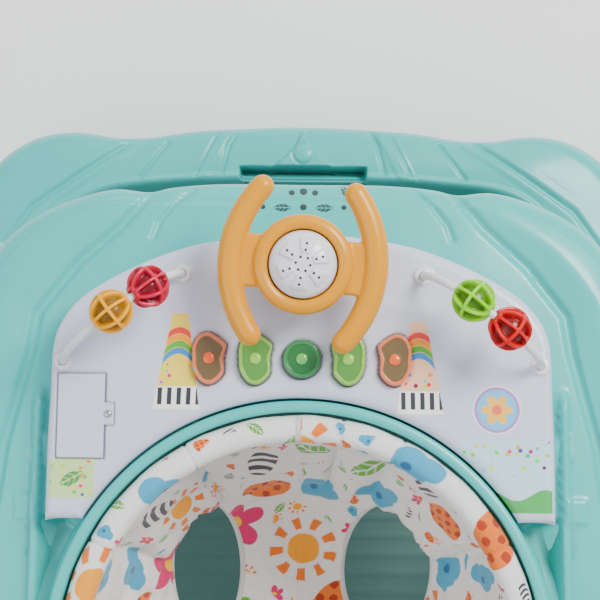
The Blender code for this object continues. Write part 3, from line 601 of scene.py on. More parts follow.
def base_shell():
    """Angle round the base by a closed profile: skirt, rounded deck, inner wall and the inside.

    The deck rises from the skirt by a quarter curve, swells at the front corners and carries
    soft ridges and grooves that depend on the distance to a few lines on the plan.
    """
    m = steps(930)
    even = np.linspace(0, 2 * np.pi, m, endpoint=False)
    turns = even - 0.62 * np.sin(even)
    out = star_radius(BASE_OUTER, np.zeros(2), turns) + 0.004 * np.clip(np.cos(turns), 0, 1) ** 4
    inn = star_radius(BASE_INNER, np.zeros(2), turns)
    rows = []
    for z in (0.0463, 0.050, 0.058, 0.066):
        rows.append((0.0, z))
    for a in np.linspace(0, np.pi / 2, 12):
        rows.append((0.26 * (1 - math.cos(a)), 0.070 + 0.038 * math.sin(a)))
    for t in np.linspace(0.27, 0.93, 62):
        rows.append((t, 0.108 + 0.0025 * math.sin(math.pi * (t - 0.26) / 0.7)))
    for a in np.linspace(0, np.pi / 2, 8)[1:]:
        rows.append((0.93 + 0.07 * math.sin(a), 0.108 - 0.006 * (1 - math.cos(a))))
    for z in (0.098, 0.080, 0.060, 0.050, 0.0463):
        rows.append((1.0, z))
    rows = np.array(rows)
    t, z = rows[:, 0][None], rows[:, 1][None]
    radius = out[:, None] + (inn - out)[:, None] * t
    x, y = np.sin(turns)[:, None] * radius, np.cos(turns)[:, None] * radius
    top = ease(0.090, 0.107, z + 0 * x)
    ax = np.abs(x)
    lift = np.zeros_like(x)
    lift += 0.0035 * np.exp(-(((ax - 0.222) / 0.050) ** 2 + ((y - 0.318) / 0.035) ** 2))
    front = ease(0.24, 0.30, y)
    lip = bump((t - 0.935) * (out - inn)[:, None], 0.0055)
    notch = ease(0.0625, 0.0585, ax) * ease(0.3, 0.32, y)
    lift += 0.0028 * lip * (1 - notch)
    g1 = segment_distance(ax, y, [(60, 362), (72, 340), (79, 312)])
    g2 = segment_distance(ax, y, [(84, 352), (105, 309)])
    g3 = segment_distance(ax, y, [(132, 341), (158, 306)])
    crease = segment_distance(ax, y, [(150, 356), (163, 345), (215, 309), (262, 276), (288, 240)])
    inside = ease(0.0, 0.004, (ax - 0.079) * 0.9 + (y - 0.33) * 0.45)
    lift += 0.0016 * inside * ease(0.0, 0.0045, 0.105 - ax + (0.32 - y) * 0.5) * front
    for line, width in ((g1, 0.0034), (g2, 0.0030), (g3, 0.0030), (crease, 0.0042)):
        lift -= 0.0026 * bump(line, width)
    lift += 0.0010 * bump(crease - 0.006, 0.006) * front
    tear = (y - 0.3150) / 0.0430
    rest = np.clip(1 - tear, 0, 1)
    width = 0.0290 * rest**2.2 + 0.0055 * np.sqrt(rest)
    drop = ease(-0.0015, 0.0030, width - ax) * ease(0.312, 0.316, y)
    lift += 0.0050 * drop
    knob = np.hypot(x, y - 0.3305)
    lift += 0.0030 * np.sqrt(np.clip(1 - (knob / 0.0095) ** 2, 0, 1))
    lift -= 0.0008 * bump(knob - 0.0108, 0.0016)
    slot_ = notch * ease(0.3195, 0.3175, y)
    lift -= 0.030 * slot_ * ease(0.06, 0.09, z + 0 * x)
    zz = z + lift * np.maximum(top, slot_)
    under = np.stack([x, y, zz], -1)
    shell = 0.0026
    inner_rows = under[:, ::-1].copy()
    inner_rows[..., 2] = np.maximum(inner_rows[..., 2] - shell * ease(0.06, 0.10, inner_rows[..., 2]), 0.0463)
    middle = 0.5 * (out + inn)[:, None]
    reach = np.hypot(inner_rows[..., 0], inner_rows[..., 1])
    pull = np.clip((middle - reach) / 0.010, -1, 1) * shell
    inner_rows[..., 0] += np.sin(turns)[:, None] * pull
    inner_rows[..., 1] += np.cos(turns)[:, None] * pull
    whole = np.concatenate([under, inner_rows[:, ::6]], 1)
    obj = surface("base_shell_visual", whole, wrap_u=True, wrap_v=True, weld=False)
    # Painted shade: the vertex mark darkens the slot at the base's front, for the shade inside it.
    painted_shade = np.concatenate([slot_, 0 * slot_[:, ::6]], 1)
    mark(obj, "painted_shade", painted_shade)
    finish_mesh(obj, "base", M_BASE, ["base_shell"])


def foot_mat():
    """Plan rows scaled to the middle, with raised ribs across that fade out near the edge."""
    m, n = steps(380), steps(190)
    turns = np.linspace(0, 2 * np.pi, m, endpoint=False)
    out = star_radius(BASE_INNER, np.zeros(2), turns) - 0.0014
    s = np.concatenate([[1.0, 1.0], np.linspace(1, 0, n) ** 0.8])[None]
    radius = out[:, None] * s
    x, y = np.sin(turns)[:, None] * radius, np.cos(turns)[:, None] * radius
    ribs = 0.5 + 0.5 * np.cos(2 * np.pi * y / 0.018)
    level = 0.0472 + 0.0011 * ease(0.55, 0.85, ribs) * ease(0.012, 0.02, out[:, None] - radius)
    level[:, 0] = 0.0442
    points = np.stack([x, y, level], -1)
    obj = surface("foot_mat_visual", points, wrap_u=True)
    finish_mesh(obj, "base", M_MAT, ["foot_mat"])


# ------------------------------------------------------------------ tray

def tray_shell():
    """Angle round the seat ring by a closed profile from the skirt over the top to the ring wall.

    Outside the console the top falls to the front edge; a crease line divides it from the
    swollen corner lobes, and shallow pockets lie beside the ring behind the console.
    """
    m = steps(780)
    even = np.linspace(0, 2 * np.pi, m, endpoint=False)
    turns = even - 0.50 * np.sin(even)
    out = star_radius(TRAY_OUTER, RING, turns)
    rows = []
    for z in (0.3563, 0.362, 0.368):
        rows.append((0.0, z))
    for a in np.linspace(0, np.pi / 2, 10):
        rows.append((0.07 * (1 - math.cos(a)), 0.370 + 0.020 * math.sin(a)))
    for t in np.concatenate([np.linspace(0.075, 0.45, 58), np.linspace(0.47, 0.985, 26)]):
        rows.append((t, 0.390 + 0.0085 * (1 - (1 - t) ** 3)))
    rows = np.array(rows)
    t, z = rows[:, 0][None], rows[:, 1][None]
    radius = out[:, None] + (BAND_R - out)[:, None] * t
    s, c = np.sin(turns)[:, None], np.cos(turns)[:, None]
    x, y = s * radius, c * radius + RING[1]
    ax = np.abs(x)
    top = ease(0.380, 0.390, z + 0 * x)
    lift = np.zeros_like(x)
    crease = [(117, 250), (113, 236), (139, 205), (171, 176), (200, 138), (204, 110), (222, 40), (232, -40)]
    edge = segment_distance(ax, y, crease)
    crease_x, crease_y = np.array(crease).T / 1000
    beyond = ease(-0.002, 0.004, ax - np.interp(-y, -crease_y, crease_x))
    lobes = beyond * ease(-0.16, -0.02, y)
    lift += 0.0062 * lobes * ease(0.0, 0.03, edge) * ease(0.0, 0.035, radius * 0 + out[:, None] - radius)
    lift -= 0.0042 * bump(edge, 0.0060) * ease(-0.06, 0.02, y)
    lift += 0.0014 * bump(edge + 0.0075, 0.005) * (1 - beyond)
    plateau = ease(0.2255, 0.2225, y - 0.00 * ax) * ease(0.19, 0.12, ax)
    lift += 0.0026 * plateau * ease(0.10, 0.18, y)
    vein = segment_distance(ax, y, [(84, 236), (98, 224), (110, 208), (114, 196)])
    lift -= 0.0028 * bump(vein, 0.0034)
    ridge = ease(0.0052, 0.0018, np.abs(ax - 0.1965)) * ease(0.085, 0.070, y) * ease(-0.26, -0.22, y)
    lift += 0.0070 * ridge
    behind = ease(-0.012, -0.020, y)
    wall = radius - BAND_R
    pocket = behind * ease(0.193, 0.186, ax) * ease(0.003, 0.010, wall) * ease(-0.107, -0.095, y)
    lift -= 0.016 * pocket
    rear = ease(-0.240, -0.250, y) * ease(0.010, 0.020, wall) * ease(0.022, 0.030, out[:, None] - radius)
    rear = rear * ease(0.170, 0.160, ax)
    lift -= 0.010 * rear
    boss = ease(0.0085, 0.0070, np.abs(ax - 0.205)) * ease(0.0100, 0.0085, np.abs(y + 0.008))
    lift += 0.0022 * boss
    zz = z + lift * top
    body = np.stack([x, y, zz], -1)
    rim = []
    for r, level in (
        (BAND_R + 0.0012, 0.3995), (BAND_R + 0.0003, 0.4030), (BAND_R, 0.4080), (BAND_R, 0.4180),
        (BAND_R - 0.0005, 0.4198), (BAND_R - 0.0018, 0.4208), (BAND_R - 0.004, 0.4212),
        (RING_R + 0.003, 0.4212), (RING_R + 0.001, 0.4206), (RING_R + 0.0001, 0.4190),
        (RING_R, 0.4100), (RING_R, 0.3800), (RING_R, 0.3563), (RING_R + 0.003, 0.3563),
        (RING_R + 0.003, 0.3800), (RING_R + 0.0035, 0.3930),
    ):
        rim.append(np.stack([s[:, 0] * r, c[:, 0] * r + RING[1], np.full(m, level)], -1))
    rim = np.array(rim).transpose(1, 0, 2)
    lower = body[:, ::-7].copy()
    lower[..., 2] = np.maximum(lower[..., 2] - 0.0028 * ease(0.360, 0.385, lower[..., 2]), 0.3563)
    inwards = 0.003 * ease(0.02, 0.0, out[:, None] - np.hypot(lower[..., 0], lower[..., 1] - RING[1]))
    lower[..., 0] -= s * inwards
    lower[..., 1] -= c * inwards
    whole = np.concatenate([body, rim, lower], 1)
    obj = surface("tray_shell_visual", whole, wrap_u=True, wrap_v=True, weld=False)
    # Painted shade: the vertex mark darkens the pockets behind the console and the dip at the rear.
    painted_shade = np.zeros(whole.shape[:2])
    painted_shade[:, : body.shape[1]] = np.maximum(pocket, 0.8 * rear) * 0.35
    mark(obj, "painted_shade", painted_shade)
    finish_mesh(obj, "tray", M_TRAY, ["tray_shell"])


# ------------------------------------------------------------------ console

def button_shape(index, grow=0.0, count=96):
    """Plan outline of a button: a circle in the middle, waisted shields to each side."""
    if index == 0:
        a = np.linspace(0, 2 * np.pi, count, endpoint=False)
        return np.stack([np.cos(a), np.sin(a)], 1) * (0.0138 + grow) + (0, BUTTON_Y)
    side = 1 if index > 0 else -1
    shape = np.array(SIDE_BUTTON) * (-side, 1.0) * (0.01225 + grow, 0.0190 + grow) * 1000
    return smooth_loop(shape, count, mirrored=False) + (index * BUTTON_X, BUTTON_Y)


def outline_distance(spots, outline):
    """How far each spot lies from a closed outline's nearest edge."""
    best = np.full(len(spots), 9.0)
    for a, b in zip(outline, np.roll(outline, -1, 0)):
        run = b - a
        t = np.clip(((spots - a) @ run) / max(run @ run, 1e-12), 0, 1)
        best = np.minimum(best, np.hypot(*(spots - a - t[:, None] * run).T))
    return best


def console_body():
    """A C-shaped panel: angle round the ring by distance outwards, its edges rounded over.

    The top falls away near every edge by a quarter circle, dips along the button row and
    keeps a low step round the battery cover and each wire socket.
    """
    inner_r = BAND_R + 0.0018
    m, n = steps(590), steps(155)
    reach = np.pi / 2 * 0.98
    u = np.concatenate([[-1.0] * 3, np.sin(np.linspace(-1, 1, m) * reach) / math.sin(reach), [1.0] * 3])
    v = np.concatenate([[0.0] * 4, (1 - np.cos(np.linspace(0, np.pi, n))) / 2, [1.0] * 4])
    sink_u = np.concatenate([[3, 2, 1], np.zeros(m), [1, 2, 3]]) / 3
    sink_v = np.concatenate([[4, 3, 2, 1], np.zeros(n), [1, 2, 3, 4]]) / 4
    turns = u * math.radians(61.5)
    out = star_radius(PANEL_FRONT, RING, turns % (2 * np.pi))
    radius = inner_r + (out[:, None] - inner_r) * v[None]
    limit = np.arccos(np.clip(0.0970 / radius, -1, 1))
    angle = u[:, None] * np.minimum(limit, math.radians(64))
    out2 = star_radius(PANEL_FRONT, RING, angle.ravel() % (2 * np.pi)).reshape(angle.shape)
    radius = inner_r + (out2 - inner_r) * v[None]
    x, y = np.sin(angle) * radius, np.cos(angle) * radius + RING[1]
    ax = np.abs(x)
    edge_r = 0.0085
    near = np.minimum(np.minimum(radius - inner_r, (out2 - radius) * 0.92), y + 0.0160)
    near = np.clip(near, 0, edge_r)
    fall = edge_r * 0.75 * (1 - np.sqrt(np.clip(1 - (1 - near / edge_r) ** 2, 0, 1)))
    z = CONSOLE_TOP - fall
    dish = np.exp(-(((y - 0.102) / 0.034) ** 2)) * ease(0.120, 0.085, ax)
    z -= 0.0012 * dish
    z += 0.0010 * bump(y - 0.140 + 0.1 * x * x, 0.010) * ease(0.11, 0.08, ax)
    post = np.hypot(x, y - POST_Y)
    z += 0.0012 * ease(0.036, 0.028, post)
    for sx in (-1, 1):
        for px, py in ARCH_ENDS:
            hole = np.hypot(x - sx * px, y - py)
            z += 0.0012 * ease(0.0085, 0.0065, hole)
    cover = (
        ease(0.0020, 0.0010, np.abs(x + 0.161) - 0.017) * ease(0.0020, 0.0010, np.abs(y - 0.0585) - 0.0305)
    )
    z -= 0.0020 * cover
    drop = np.maximum(sink_u[:, None], sink_v[None]) * 0.018
    z = np.where(drop > 0, CONSOLE_TOP - edge_r * 0.75 - drop, z)
    spots = np.stack([x.ravel(), y.ravel()], 1)
    rings = np.full(len(spots), 1.0)
    near_row = np.where((np.abs(spots[:, 1] - BUTTON_Y) < 0.026) & (np.abs(spots[:, 0]) < 0.090))[0]
    for index in range(-2, 3):
        gap = outline_distance(spots[near_row], button_shape(index, 0.0004))
        rings[near_row] = np.minimum(rings[near_row], np.abs(gap))
    groove = ease(0.0012, 0.0004, rings).reshape(x.shape)
    z = z - 0.0018 * groove
    edge = np.maximum(np.abs(x + 0.161) - 0.0172, np.abs(y - 0.0585) - 0.0307)
    tab = np.maximum(np.abs(x + 0.1405) - 0.0040, np.abs(y - 0.060) - 0.0083)
    seam = ease(0.0010, 0.0003, np.abs(np.minimum(edge, tab)))
    obj = surface("console_visual", np.stack([x, y, z], -1), weld=False)
    # The vertex mark: painted shade in the groove round each button, and a dark seam line round the battery
    # cover and its tab.
    mark(obj, "painted_shade", np.maximum(groove, 0.75 * seam))
    return finish_mesh(obj, "tray", M_CONSOLE, ["console_body"])


# ------------------------------------------------------------------ printed cloth and stickers

def motifs(tree, where, shown, scale, size, free):
    """Scattered prints, one to a Voronoi cell: suns, flowers, leaves, clouds and striped ovals."""
    cells = tree.nodes.new("ShaderNodeTexVoronoi")
    cells.voronoi_dimensions = "2D"
    plug(tree, cells.inputs["Vector"], where)
    cells.inputs["Scale"].default_value = scale
    cells.inputs["Randomness"].default_value = 0.55
    local = tree.nodes.new("ShaderNodeVectorMath")
    local.operation = "SUBTRACT"
    plug(tree, local.inputs[0], where)
    plug(tree, local.inputs[1], cells.outputs["Position"])
    split = node(tree, "ShaderNodeSeparateXYZ", Vector=local.outputs[0])
    dx, dy = Value(tree, split.outputs[0]), Value(tree, split.outputs[1])
    chance = node(tree, "ShaderNodeSeparateColor", Color=cells.outputs["Color"])
    pick, spin = Value(tree, chance.outputs[0]), Value(tree, chance.outputs[1])
    turn = spin * 6.283
    c, s = turn.do("COSINE"), turn.do("SINE")
    u = (dx * c + dy * s) * (1 / size)
    v = (dy * c - dx * s) * (1 / size)
    reach = (u * u + v * v).do("SQRT")
    phi = v.do("ARCTAN2", u)
    kind = (pick * 6.0).do("FLOOR")
    side = v.do("ABSOLUTE")

    def disc(cx, cy, r):
        return ((u - cx) * (u - cx) + (v - cy) * (v - cy)).do("SQRT").above(r, r - 0.05)

    rays = (phi * 9.0).do("SINE").above(0.0, 0.4) * reach.above(0.56, 0.62) * reach.above(0.98, 0.92)
    petals = ((phi * 2.5).do("COSINE").do("ABSOLUTE") * 0.5 + 0.42 - reach).above(0.0, 0.05)
    blade = ((u * u) * -0.42 + 0.42 - side).above(0.0, 0.04) * side.above(0.02, 0.06)
    blade = blade * (((u + side) * 15.0).do("SINE").above(-0.9, -0.5) * 0.5 + 0.5)
    oval = (u * u * 1.3 + v * v * 3.0).above(1.0, 0.9)
    stripes = ((u + v * v * 0.5) * 15.0).do("SINE").above(-0.3, 0.1)
    spots = ((u * 11.0).do("SINE") * (v * 11.0).do("SINE")).above(0.25, 0.4)
    cloud = disc(0.0, 0.05, 0.55).do("MAXIMUM", disc(0.48, -0.1, 0.38)).do(
        "MAXIMUM", disc(-0.48, -0.1, 0.36))
    layers = (
        (0, disc(0.0, 0.0, 0.48), linear(248, 160, 10)), (0, rays, linear(240, 118, 10)),
        (1, petals, linear(220, 34, 104)), (1, disc(0.0, 0.0, 0.22), linear(252, 196, 20)),
        (2, blade, linear(84, 168, 24)), (3, cloud, linear(58, 160, 196)),
        (3, disc(0.1, 0.1, 0.16), linear(24, 100, 146)),
        (4, oval * stripes, linear(58, 58, 66)), (5, oval, linear(238, 118, 24)),
        (5, oval * spots, linear(176, 52, 10)),
    )
    for which, mask, ink in layers:
        chosen = kind.do("COMPARE", float(which), 0.1)
        shown = mix(tree, mask * chosen * free, shown, ink)
    return shown, reach


def print_group():
    """The nursery print, as a colour over a flat vector in metres."""
    tree, start, end = group(
        "print", [("Vector", "NodeSocketVector", None)], [("Color", "NodeSocketColor")]
    )
    where = start.outputs["Vector"]
    wobble = node(tree, "ShaderNodeTexNoise", Vector=where, Scale=60.0, Detail=1.0)
    nudge = tree.nodes.new("ShaderNodeVectorMath")
    nudge.operation = "MULTIPLY_ADD"
    plug(tree, nudge.inputs[0], wobble.outputs["Color"])
    nudge.inputs[1].default_value = (0.004, 0.004, 0.0)
    plug(tree, nudge.inputs[2], where)
    moved = nudge.outputs[0]
    free = Value(tree, node(tree, "ShaderNodeValue").outputs[0])
    free.socket.default_value = 1.0
    shown, reach = motifs(tree, moved, (*linear(232, 231, 228),), 14.5, 0.0320, free)
    gaps = reach.above(1.05, 1.15)
    shown, _ = motifs(tree, moved, shown, 44.0, 0.0090, gaps)
    plug(tree, end.inputs["Color"], shown)
    return tree


PRINT = print_group()


def cloth(name, printed=True, plain=linear(228, 227, 224)):
    made = bpy.data.materials.new(name)
    made.use_nodes = True
    tree = made.node_tree
    shader = tree.nodes["Principled BSDF"]
    flat = tree.nodes.new("ShaderNodeUVMap")
    flat.uv_map = "flat"
    weave = use(tree, WEAVE, Vector=flat.outputs[0], Threads=5200.0)
    shown = use(tree, PRINT, Vector=flat.outputs[0]).outputs[0] if printed else plain
    plug(tree, shader.inputs["Base Color"], scaled_colour(tree, shown, weave.outputs["Shade"]))
    plug(tree, shader.inputs["Normal"], weave.outputs["Normal"])
    shader.inputs["Roughness"].default_value = 0.82
    shader.inputs["Sheen Weight"].default_value = 0.2
    shader.inputs["Sheen Roughness"].default_value = 0.5
    return made


def box_mask(x, y, centre, half, soft=0.0006):
    """1 inside a rectangle with that centre and half sizes."""
    away = ((x - centre[0]).do("ABSOLUTE") - half[0]).do(
        "MAXIMUM", (y - centre[1]).do("ABSOLUTE") - half[1])
    return away.above(soft, -soft)


def console_art(tree, place, xyz, colour):
    """Generic stickers: two slanted panels of arcs and dots, two corner panels and a round one."""
    x, y, _ = xyz
    # First painted shade: grey in the grooves round the buttons, and the dark seam line round the battery
    # cover.
    shown = shaded_art(linear(96, 96, 104))(tree, place, xyz, colour)
    dots = tree.nodes.new("ShaderNodeTexVoronoi")
    plug(tree, dots.inputs["Vector"], place)
    dots.inputs["Scale"].default_value = 170.0
    speck = Value(tree, dots.outputs["Distance"]).above(0.30, 0.24)
    spread = node(tree, "ShaderNodeHueSaturation", Color=dots.outputs["Color"], Saturation=1.8)
    for side, top, foot, ink in (
        (-1, (0.0877, 0.1345), (0.0899, 0.0640), linear(244, 214, 70)),
        (1, (0.0837, 0.1300), (0.0850, 0.0620), linear(246, 196, 160)),
    ):
        along = (y - foot[1]) * (1 / (top[1] - foot[1]))
        middle = along * (side * (top[0] - foot[0])) + side * (foot[0] + 0.0020)
        half = along * -0.0115 + 0.0172
        across = (x - middle)
        inside = (across.do("ABSOLUTE") - half).above(0.0005, -0.0005)
        inside = inside * ((along - 0.5).do("ABSOLUTE") - 0.5).above(0.008, -0.008)
        bent = (across * across * 60.0 + (y - foot[1])) * 1.0
        shown = mix(tree, inside, shown, ink)
        for level, band in ((0.058, linear(232, 60, 54)), (0.053, linear(250, 160, 20)),
                            (0.048, linear(88, 176, 50)), (0.043, linear(50, 136, 206))):
            shown = mix(tree, inside * ((bent - level).do("ABSOLUTE")).above(0.0026, 0.0020), shown, band)
        keys = ((across * 900.0).do("SINE")).above(0.0, 0.15) * (y - foot[1]).above(0.016, 0.0155)
        shown = mix(tree, inside * (y - foot[1]).above(0.017, 0.0165), shown, linear(245, 245, 245))
        shown = mix(tree, inside * keys * (y - foot[1]).above(0.003, 0.0035), shown, linear(50, 52, 60))
        middle_zone = (y - foot[1]).above(0.018, 0.019) * (y - foot[1]).above(0.038, 0.037)
        shown = mix(tree, inside * middle_zone * speck, shown, spread.outputs[0])
    shown = mix(tree, box_mask(x, y, (-0.1665, 0.0130), (0.0165, 0.0140)), shown, linear(196, 222, 150))
    shown = mix(tree, box_mask(x, y, (-0.1665, 0.0130), (0.0155, 0.0130)) * speck, shown,
                spread.outputs[0])
    shown = mix(tree, leaf_mask(x, y, (-0.1665, 0.0130), 0.0105, 0.5), shown,
                linear(70, 150, 74))
    corner = box_mask(x, y, (0.1495, 0.0175), (0.0335, 0.0265))
    shown = mix(tree, corner, shown, linear(190, 222, 230))
    shown = mix(tree, corner * speck * (y * 1.0 + x * -0.2).above(-0.014, -0.012), shown,
                spread.outputs[0])
    hills = (y - ((x * 150.0).do("SINE") * 0.004 + 0.004)).above(0.0005, -0.0005)
    shown = mix(tree, corner * hills, shown, linear(66, 172, 84))
    away = ((x - 0.1430) * (x - 0.1430) + (y - 0.0656) * (y - 0.0656)).do("SQRT")
    phi = (y - 0.0656).do("ARCTAN2", x - 0.1430)
    shown = mix(tree, away.above(0.0180, 0.0174), shown, linear(240, 240, 244))
    shown = mix(tree, away.above(0.0170, 0.0164), shown, linear(170, 130, 196))
    shown = mix(tree, away.above(0.0150, 0.0144), shown, linear(110, 190, 230))
    flower = ((phi * 3.0).do("COSINE").do("ABSOLUTE") * 0.005 + 0.0065 - away).above(-0.0003, 0.0003)
    shown = mix(tree, flower, shown, linear(250, 190, 70))
    return mix(tree, away.above(0.0040, 0.0034), shown, linear(238, 112, 84))


M_CONSOLE = plastic("console_white", WHITE, 0.33, 0.10, 0.35, 0.15, console_art)
M_COVER = plastic("cover_white", WHITE, 0.36, 0.12, 0.3, 0.1)
M_PRINT = cloth("printed_cloth")
M_PIPING = cloth("piping", False, linear(206, 206, 202))


def by_mark(inks):
    """Colours laid over each other by vertex marks: a list of (mark, ink)."""
    def art(tree, place, xyz, colour):
        shown = colour
        for word, ink in inks:
            made = tree.nodes.new("ShaderNodeAttribute")
            made.attribute_name = word
            shown = mix(tree, made.outputs["Fac"], shown, ink)
        return shown
    return art


# Painted shade: the sound holes turn dark grey through the vertex mark.
M_DOME = plastic("dome_white", linear(224, 224, 234), 0.28, 0.06, 0.2, 0.3,
                 by_mark([("painted_shade", linear(60, 60, 66))]))


def lens(name, rim, glass, knob):
    return plastic(name, rim, 0.18, 0.05, 0.2, 0.15, by_mark([("glass", glass), ("knob", knob)]))


LENSES = {
    2: lens("orange_lens", linear(226, 122, 78), linear(112, 92, 58), linear(240, 96, 40)),
    1: lens("lime_lens", linear(138, 190, 70), linear(84, 146, 60), linear(142, 200, 70)),
    0: lens("green_lens", linear(50, 136, 74), linear(36, 112, 56), linear(96, 190, 90)),
}


# ------------------------------------------------------------------ play console pieces

def post_frame():
    """Local frame of the steering post, leaning towards the seat."""
    return Matrix.Translation((0, POST_Y, CONSOLE_TOP + 0.0004)) @ Matrix.Rotation(STEER_TILT, 4, "X")


def speaker_dome():
    """A low cap over angle and distance, with six raised petals and eighteen sound holes."""
    m, n = steps(300), steps(150)
    turns = np.linspace(0, 2 * np.pi, m, endpoint=False)[:, None]
    t = np.linspace(0, 1, n)[None]
    r = 0.0243 * np.sin(t * np.pi / 2)
    z = 0.0450 + 0.0132 * np.cos(t * np.pi / 2) ** 0.9
    r, z = r + 0 * turns, z + 0 * turns
    petal = np.cos(3 * (turns - 0.35)) ** 2
    z = z + 0.0016 * ease(0.20, 0.50, petal) * ease(0.0070, 0.0090, r) * ease(0.0200, 0.0170, r)
    x, y = r * np.cos(turns), r * np.sin(turns)
    holes = np.zeros_like(x)
    for k in range(6):
        a = 0.35 + k * np.pi / 3
        for reach, swing in ((0.0100, 0.0), (0.0148, 0.0), (0.0052, np.pi / 6)):
            away = np.hypot(x - reach * math.cos(a + swing), y - reach * math.sin(a + swing))
            holes = np.maximum(holes, ease(0.00105, 0.00075, away))
    z = z - 0.0015 * holes
    skirt_r = np.array([0.0245, 0.0244, 0.0238, 0.0230, 0.0])
    skirt_z = np.array([0.0440, 0.0430, 0.0427, 0.0426, 0.0426])
    x = np.concatenate([x, np.cos(turns) * skirt_r], 1)
    y = np.concatenate([y, np.sin(turns) * skirt_r], 1)
    z = np.concatenate([z, 0 * turns + skirt_z], 1)
    holes = np.concatenate([holes, np.zeros((m, 5))], 1)
    obj = surface("dome_visual", np.stack([x, y, z], -1), wrap_u=True, weld=False)
    # Painted shade: the vertex mark darkens the sound holes.
    mark(obj, "painted_shade", holes)
    obj.data.transform(post_frame())
    return finish_mesh(obj, "tray", M_DOME, ["speaker_dome"])


def modifier(obj, kind, **settings):
    """Adds a modifier, sets it and applies it."""
    made = obj.modifiers.new(kind.lower(), kind)
    for word, value in settings.items():
        setattr(made, word, value)
    graph = bpy.context.evaluated_depsgraph_get()
    mesh = bpy.data.meshes.new_from_object(obj.evaluated_get(graph))
    obj.modifiers.clear()
    old, obj.data = obj.data, mesh
    bpy.data.meshes.remove(old)


def steering_wheel():
    """A hub ring, two webs and two curved grips, blended into one moulding."""
    local = post_frame()
    turned_frame = local @ Matrix.Rotation(STEER_TURN, 4, "Z")
    ring = turned("ring", [
        (0.0255, 0.0485), (0.0300, 0.0502), (0.0345, 0.0480), (0.0360, 0.0440), (0.0350, 0.0360),
        (0.0310, 0.0320), (0.0144, 0.0310), (0.0144, 0.0408), (0.0240, 0.0415), (0.0250, 0.0430),
    ], 120, local)
    pieces = [ring]
    for side in (-1, 1):
        web = box_piece("web", (side * 0.029, -0.0190, 0.0345), (side * 0.0480, 0.0190, 0.0442), 0.0025)
        shift = 0.052 - 0.085
        a = np.linspace(-0.673, 0.673, 60)
        path = np.stack([side * (shift + 0.085 * np.cos(a)), 0.085 * np.sin(a), 0.0405 + 0 * a], 1)
        width = 0.0092 - 0.0008 * (a / 0.673) ** 2
        grip = sweep("grip", path, width, 32)
        for piece in (web, grip):
            piece.data.transform(turned_frame)
        pieces += [web, grip]
    obj = join("wheel_visual", pieces)
    modifier(obj, "REMESH", mode="VOXEL", voxel_size=0.0009 / FINE, use_smooth_shade=True)
    modifier(obj, "SMOOTH", factor=0.5, iterations=9)
    return finish_mesh(obj, "steering", M_YELLOW, ["steering_wheel"])


def buttons():
    """Each button by angle and distance in from its outline: rim, recessed lens, small knob."""
    n = steps(70)
    for index, word in ((-2, "outer_left"), (-1, "inner_left"), (0, "centre"), (1, "inner_right"),
                        (2, "outer_right")):
        outline = button_shape(index, 0.0, steps(180))
        middle = np.array((index * BUTTON_X, BUTTON_Y))
        reach = np.linalg.norm(outline - middle, axis=1)[:, None]
        t = np.linspace(0, 1, n)[None]
        inwards = reach * (1 - t)
        spots = middle + (outline - middle)[:, None] * t[..., None]
        from_middle = np.linalg.norm(spots - middle, axis=2)
        glass = ease(0.0024, 0.0034, inwards)
        knob = ease(0.0044, 0.0038, from_middle)
        edge = 0.0014
        z = 0.4302 - edge * (1 - np.sqrt(np.clip(1 - (1 - np.clip(inwards / edge, 0, 1)) ** 2, 0, 1)))
        z = z - 0.0013 * glass + 0.0009 * glass * np.cos(np.clip(t, 0, 1) * np.pi / 2)
        z = z + 0.0016 * np.sqrt(np.clip(1 - (from_middle / 0.0046) ** 2, 0, 1))
        skirt = np.concatenate([spots[:, -1:], spots[:, -1:], middle + 0 * spots[:, -1:]], 1)
        skirt_z = np.array([0.4220, 0.4150, 0.4150]) + 0 * reach
        grid = np.concatenate([np.dstack([spots, z]), np.dstack([skirt, skirt_z])], 1)
        obj = surface("button_" + word + "_visual", grid, wrap_u=True, weld=False)
        none = np.zeros((len(outline), 3))
        mark(obj, "glass", np.concatenate([glass * (1 - knob), none], 1))
        mark(obj, "knob", np.concatenate([knob, none], 1))
        finish_mesh(obj, "button_" + word, LENSES[abs(index)], ["button_" + word])


def arch_frame(side):
    """Local frame of a bead arch: X along the chord, Z up, at the arc's centre."""
    far, near = (Vector((side * x, y, CONSOLE_TOP - ARCH_DROP)) for x, y in ARCH_ENDS)
    run = (near - far).normalized()
    up = Vector((0, 0, 1))
    turn = Matrix((run, up.cross(run), up)).transposed().to_4x4()
    return Matrix.Translation((far + near) / 2) @ turn


def bead_shape(name):
    """A ribbed ball round a bored axis: eight meridian ribs, an equator and a recess between."""
    m, n = steps(224), steps(110)
    a = np.linspace(0, 2 * np.pi, m, endpoint=False)[:, None]
    b = np.linspace(0.235, np.pi - 0.235, n)[None]
    rib = np.abs(np.mod(a * 8 / (2 * np.pi) + 0.5, 1) - 0.5) * (2 * np.pi / 8) * BEAD_R * np.sin(b)
    equator = np.abs(b - np.pi / 2) * BEAD_R
    cap = np.minimum(b, np.pi - b) * BEAD_R - 0.0062
    inside = ease(0.0009, 0.0019, rib) * ease(0.0009, 0.0019, equator) * ease(0.0, 0.0012, cap)
    r = BEAD_R - 0.0044 * inside
    x, y, z = r * np.sin(b) * np.cos(a), r * np.sin(b) * np.sin(a), r * np.cos(b) + 0 * a
    bore = 0.0037

    def ring(level):
        return np.stack([bore * np.cos(a), bore * np.sin(a), level + 0 * a], -1)

    grid = np.concatenate([np.stack([x, y, z], -1), ring(-0.0140), ring(0.0140)], 1)
    bead = surface(name, grid, wrap_u=True, wrap_v=True, weld=False)
    # Painted shade: the vertex mark darkens the recesses between the ribs.
    mark(bead, "painted_shade", np.concatenate([inside + 0 * x, np.zeros((m, 2))], 1))
    return bead


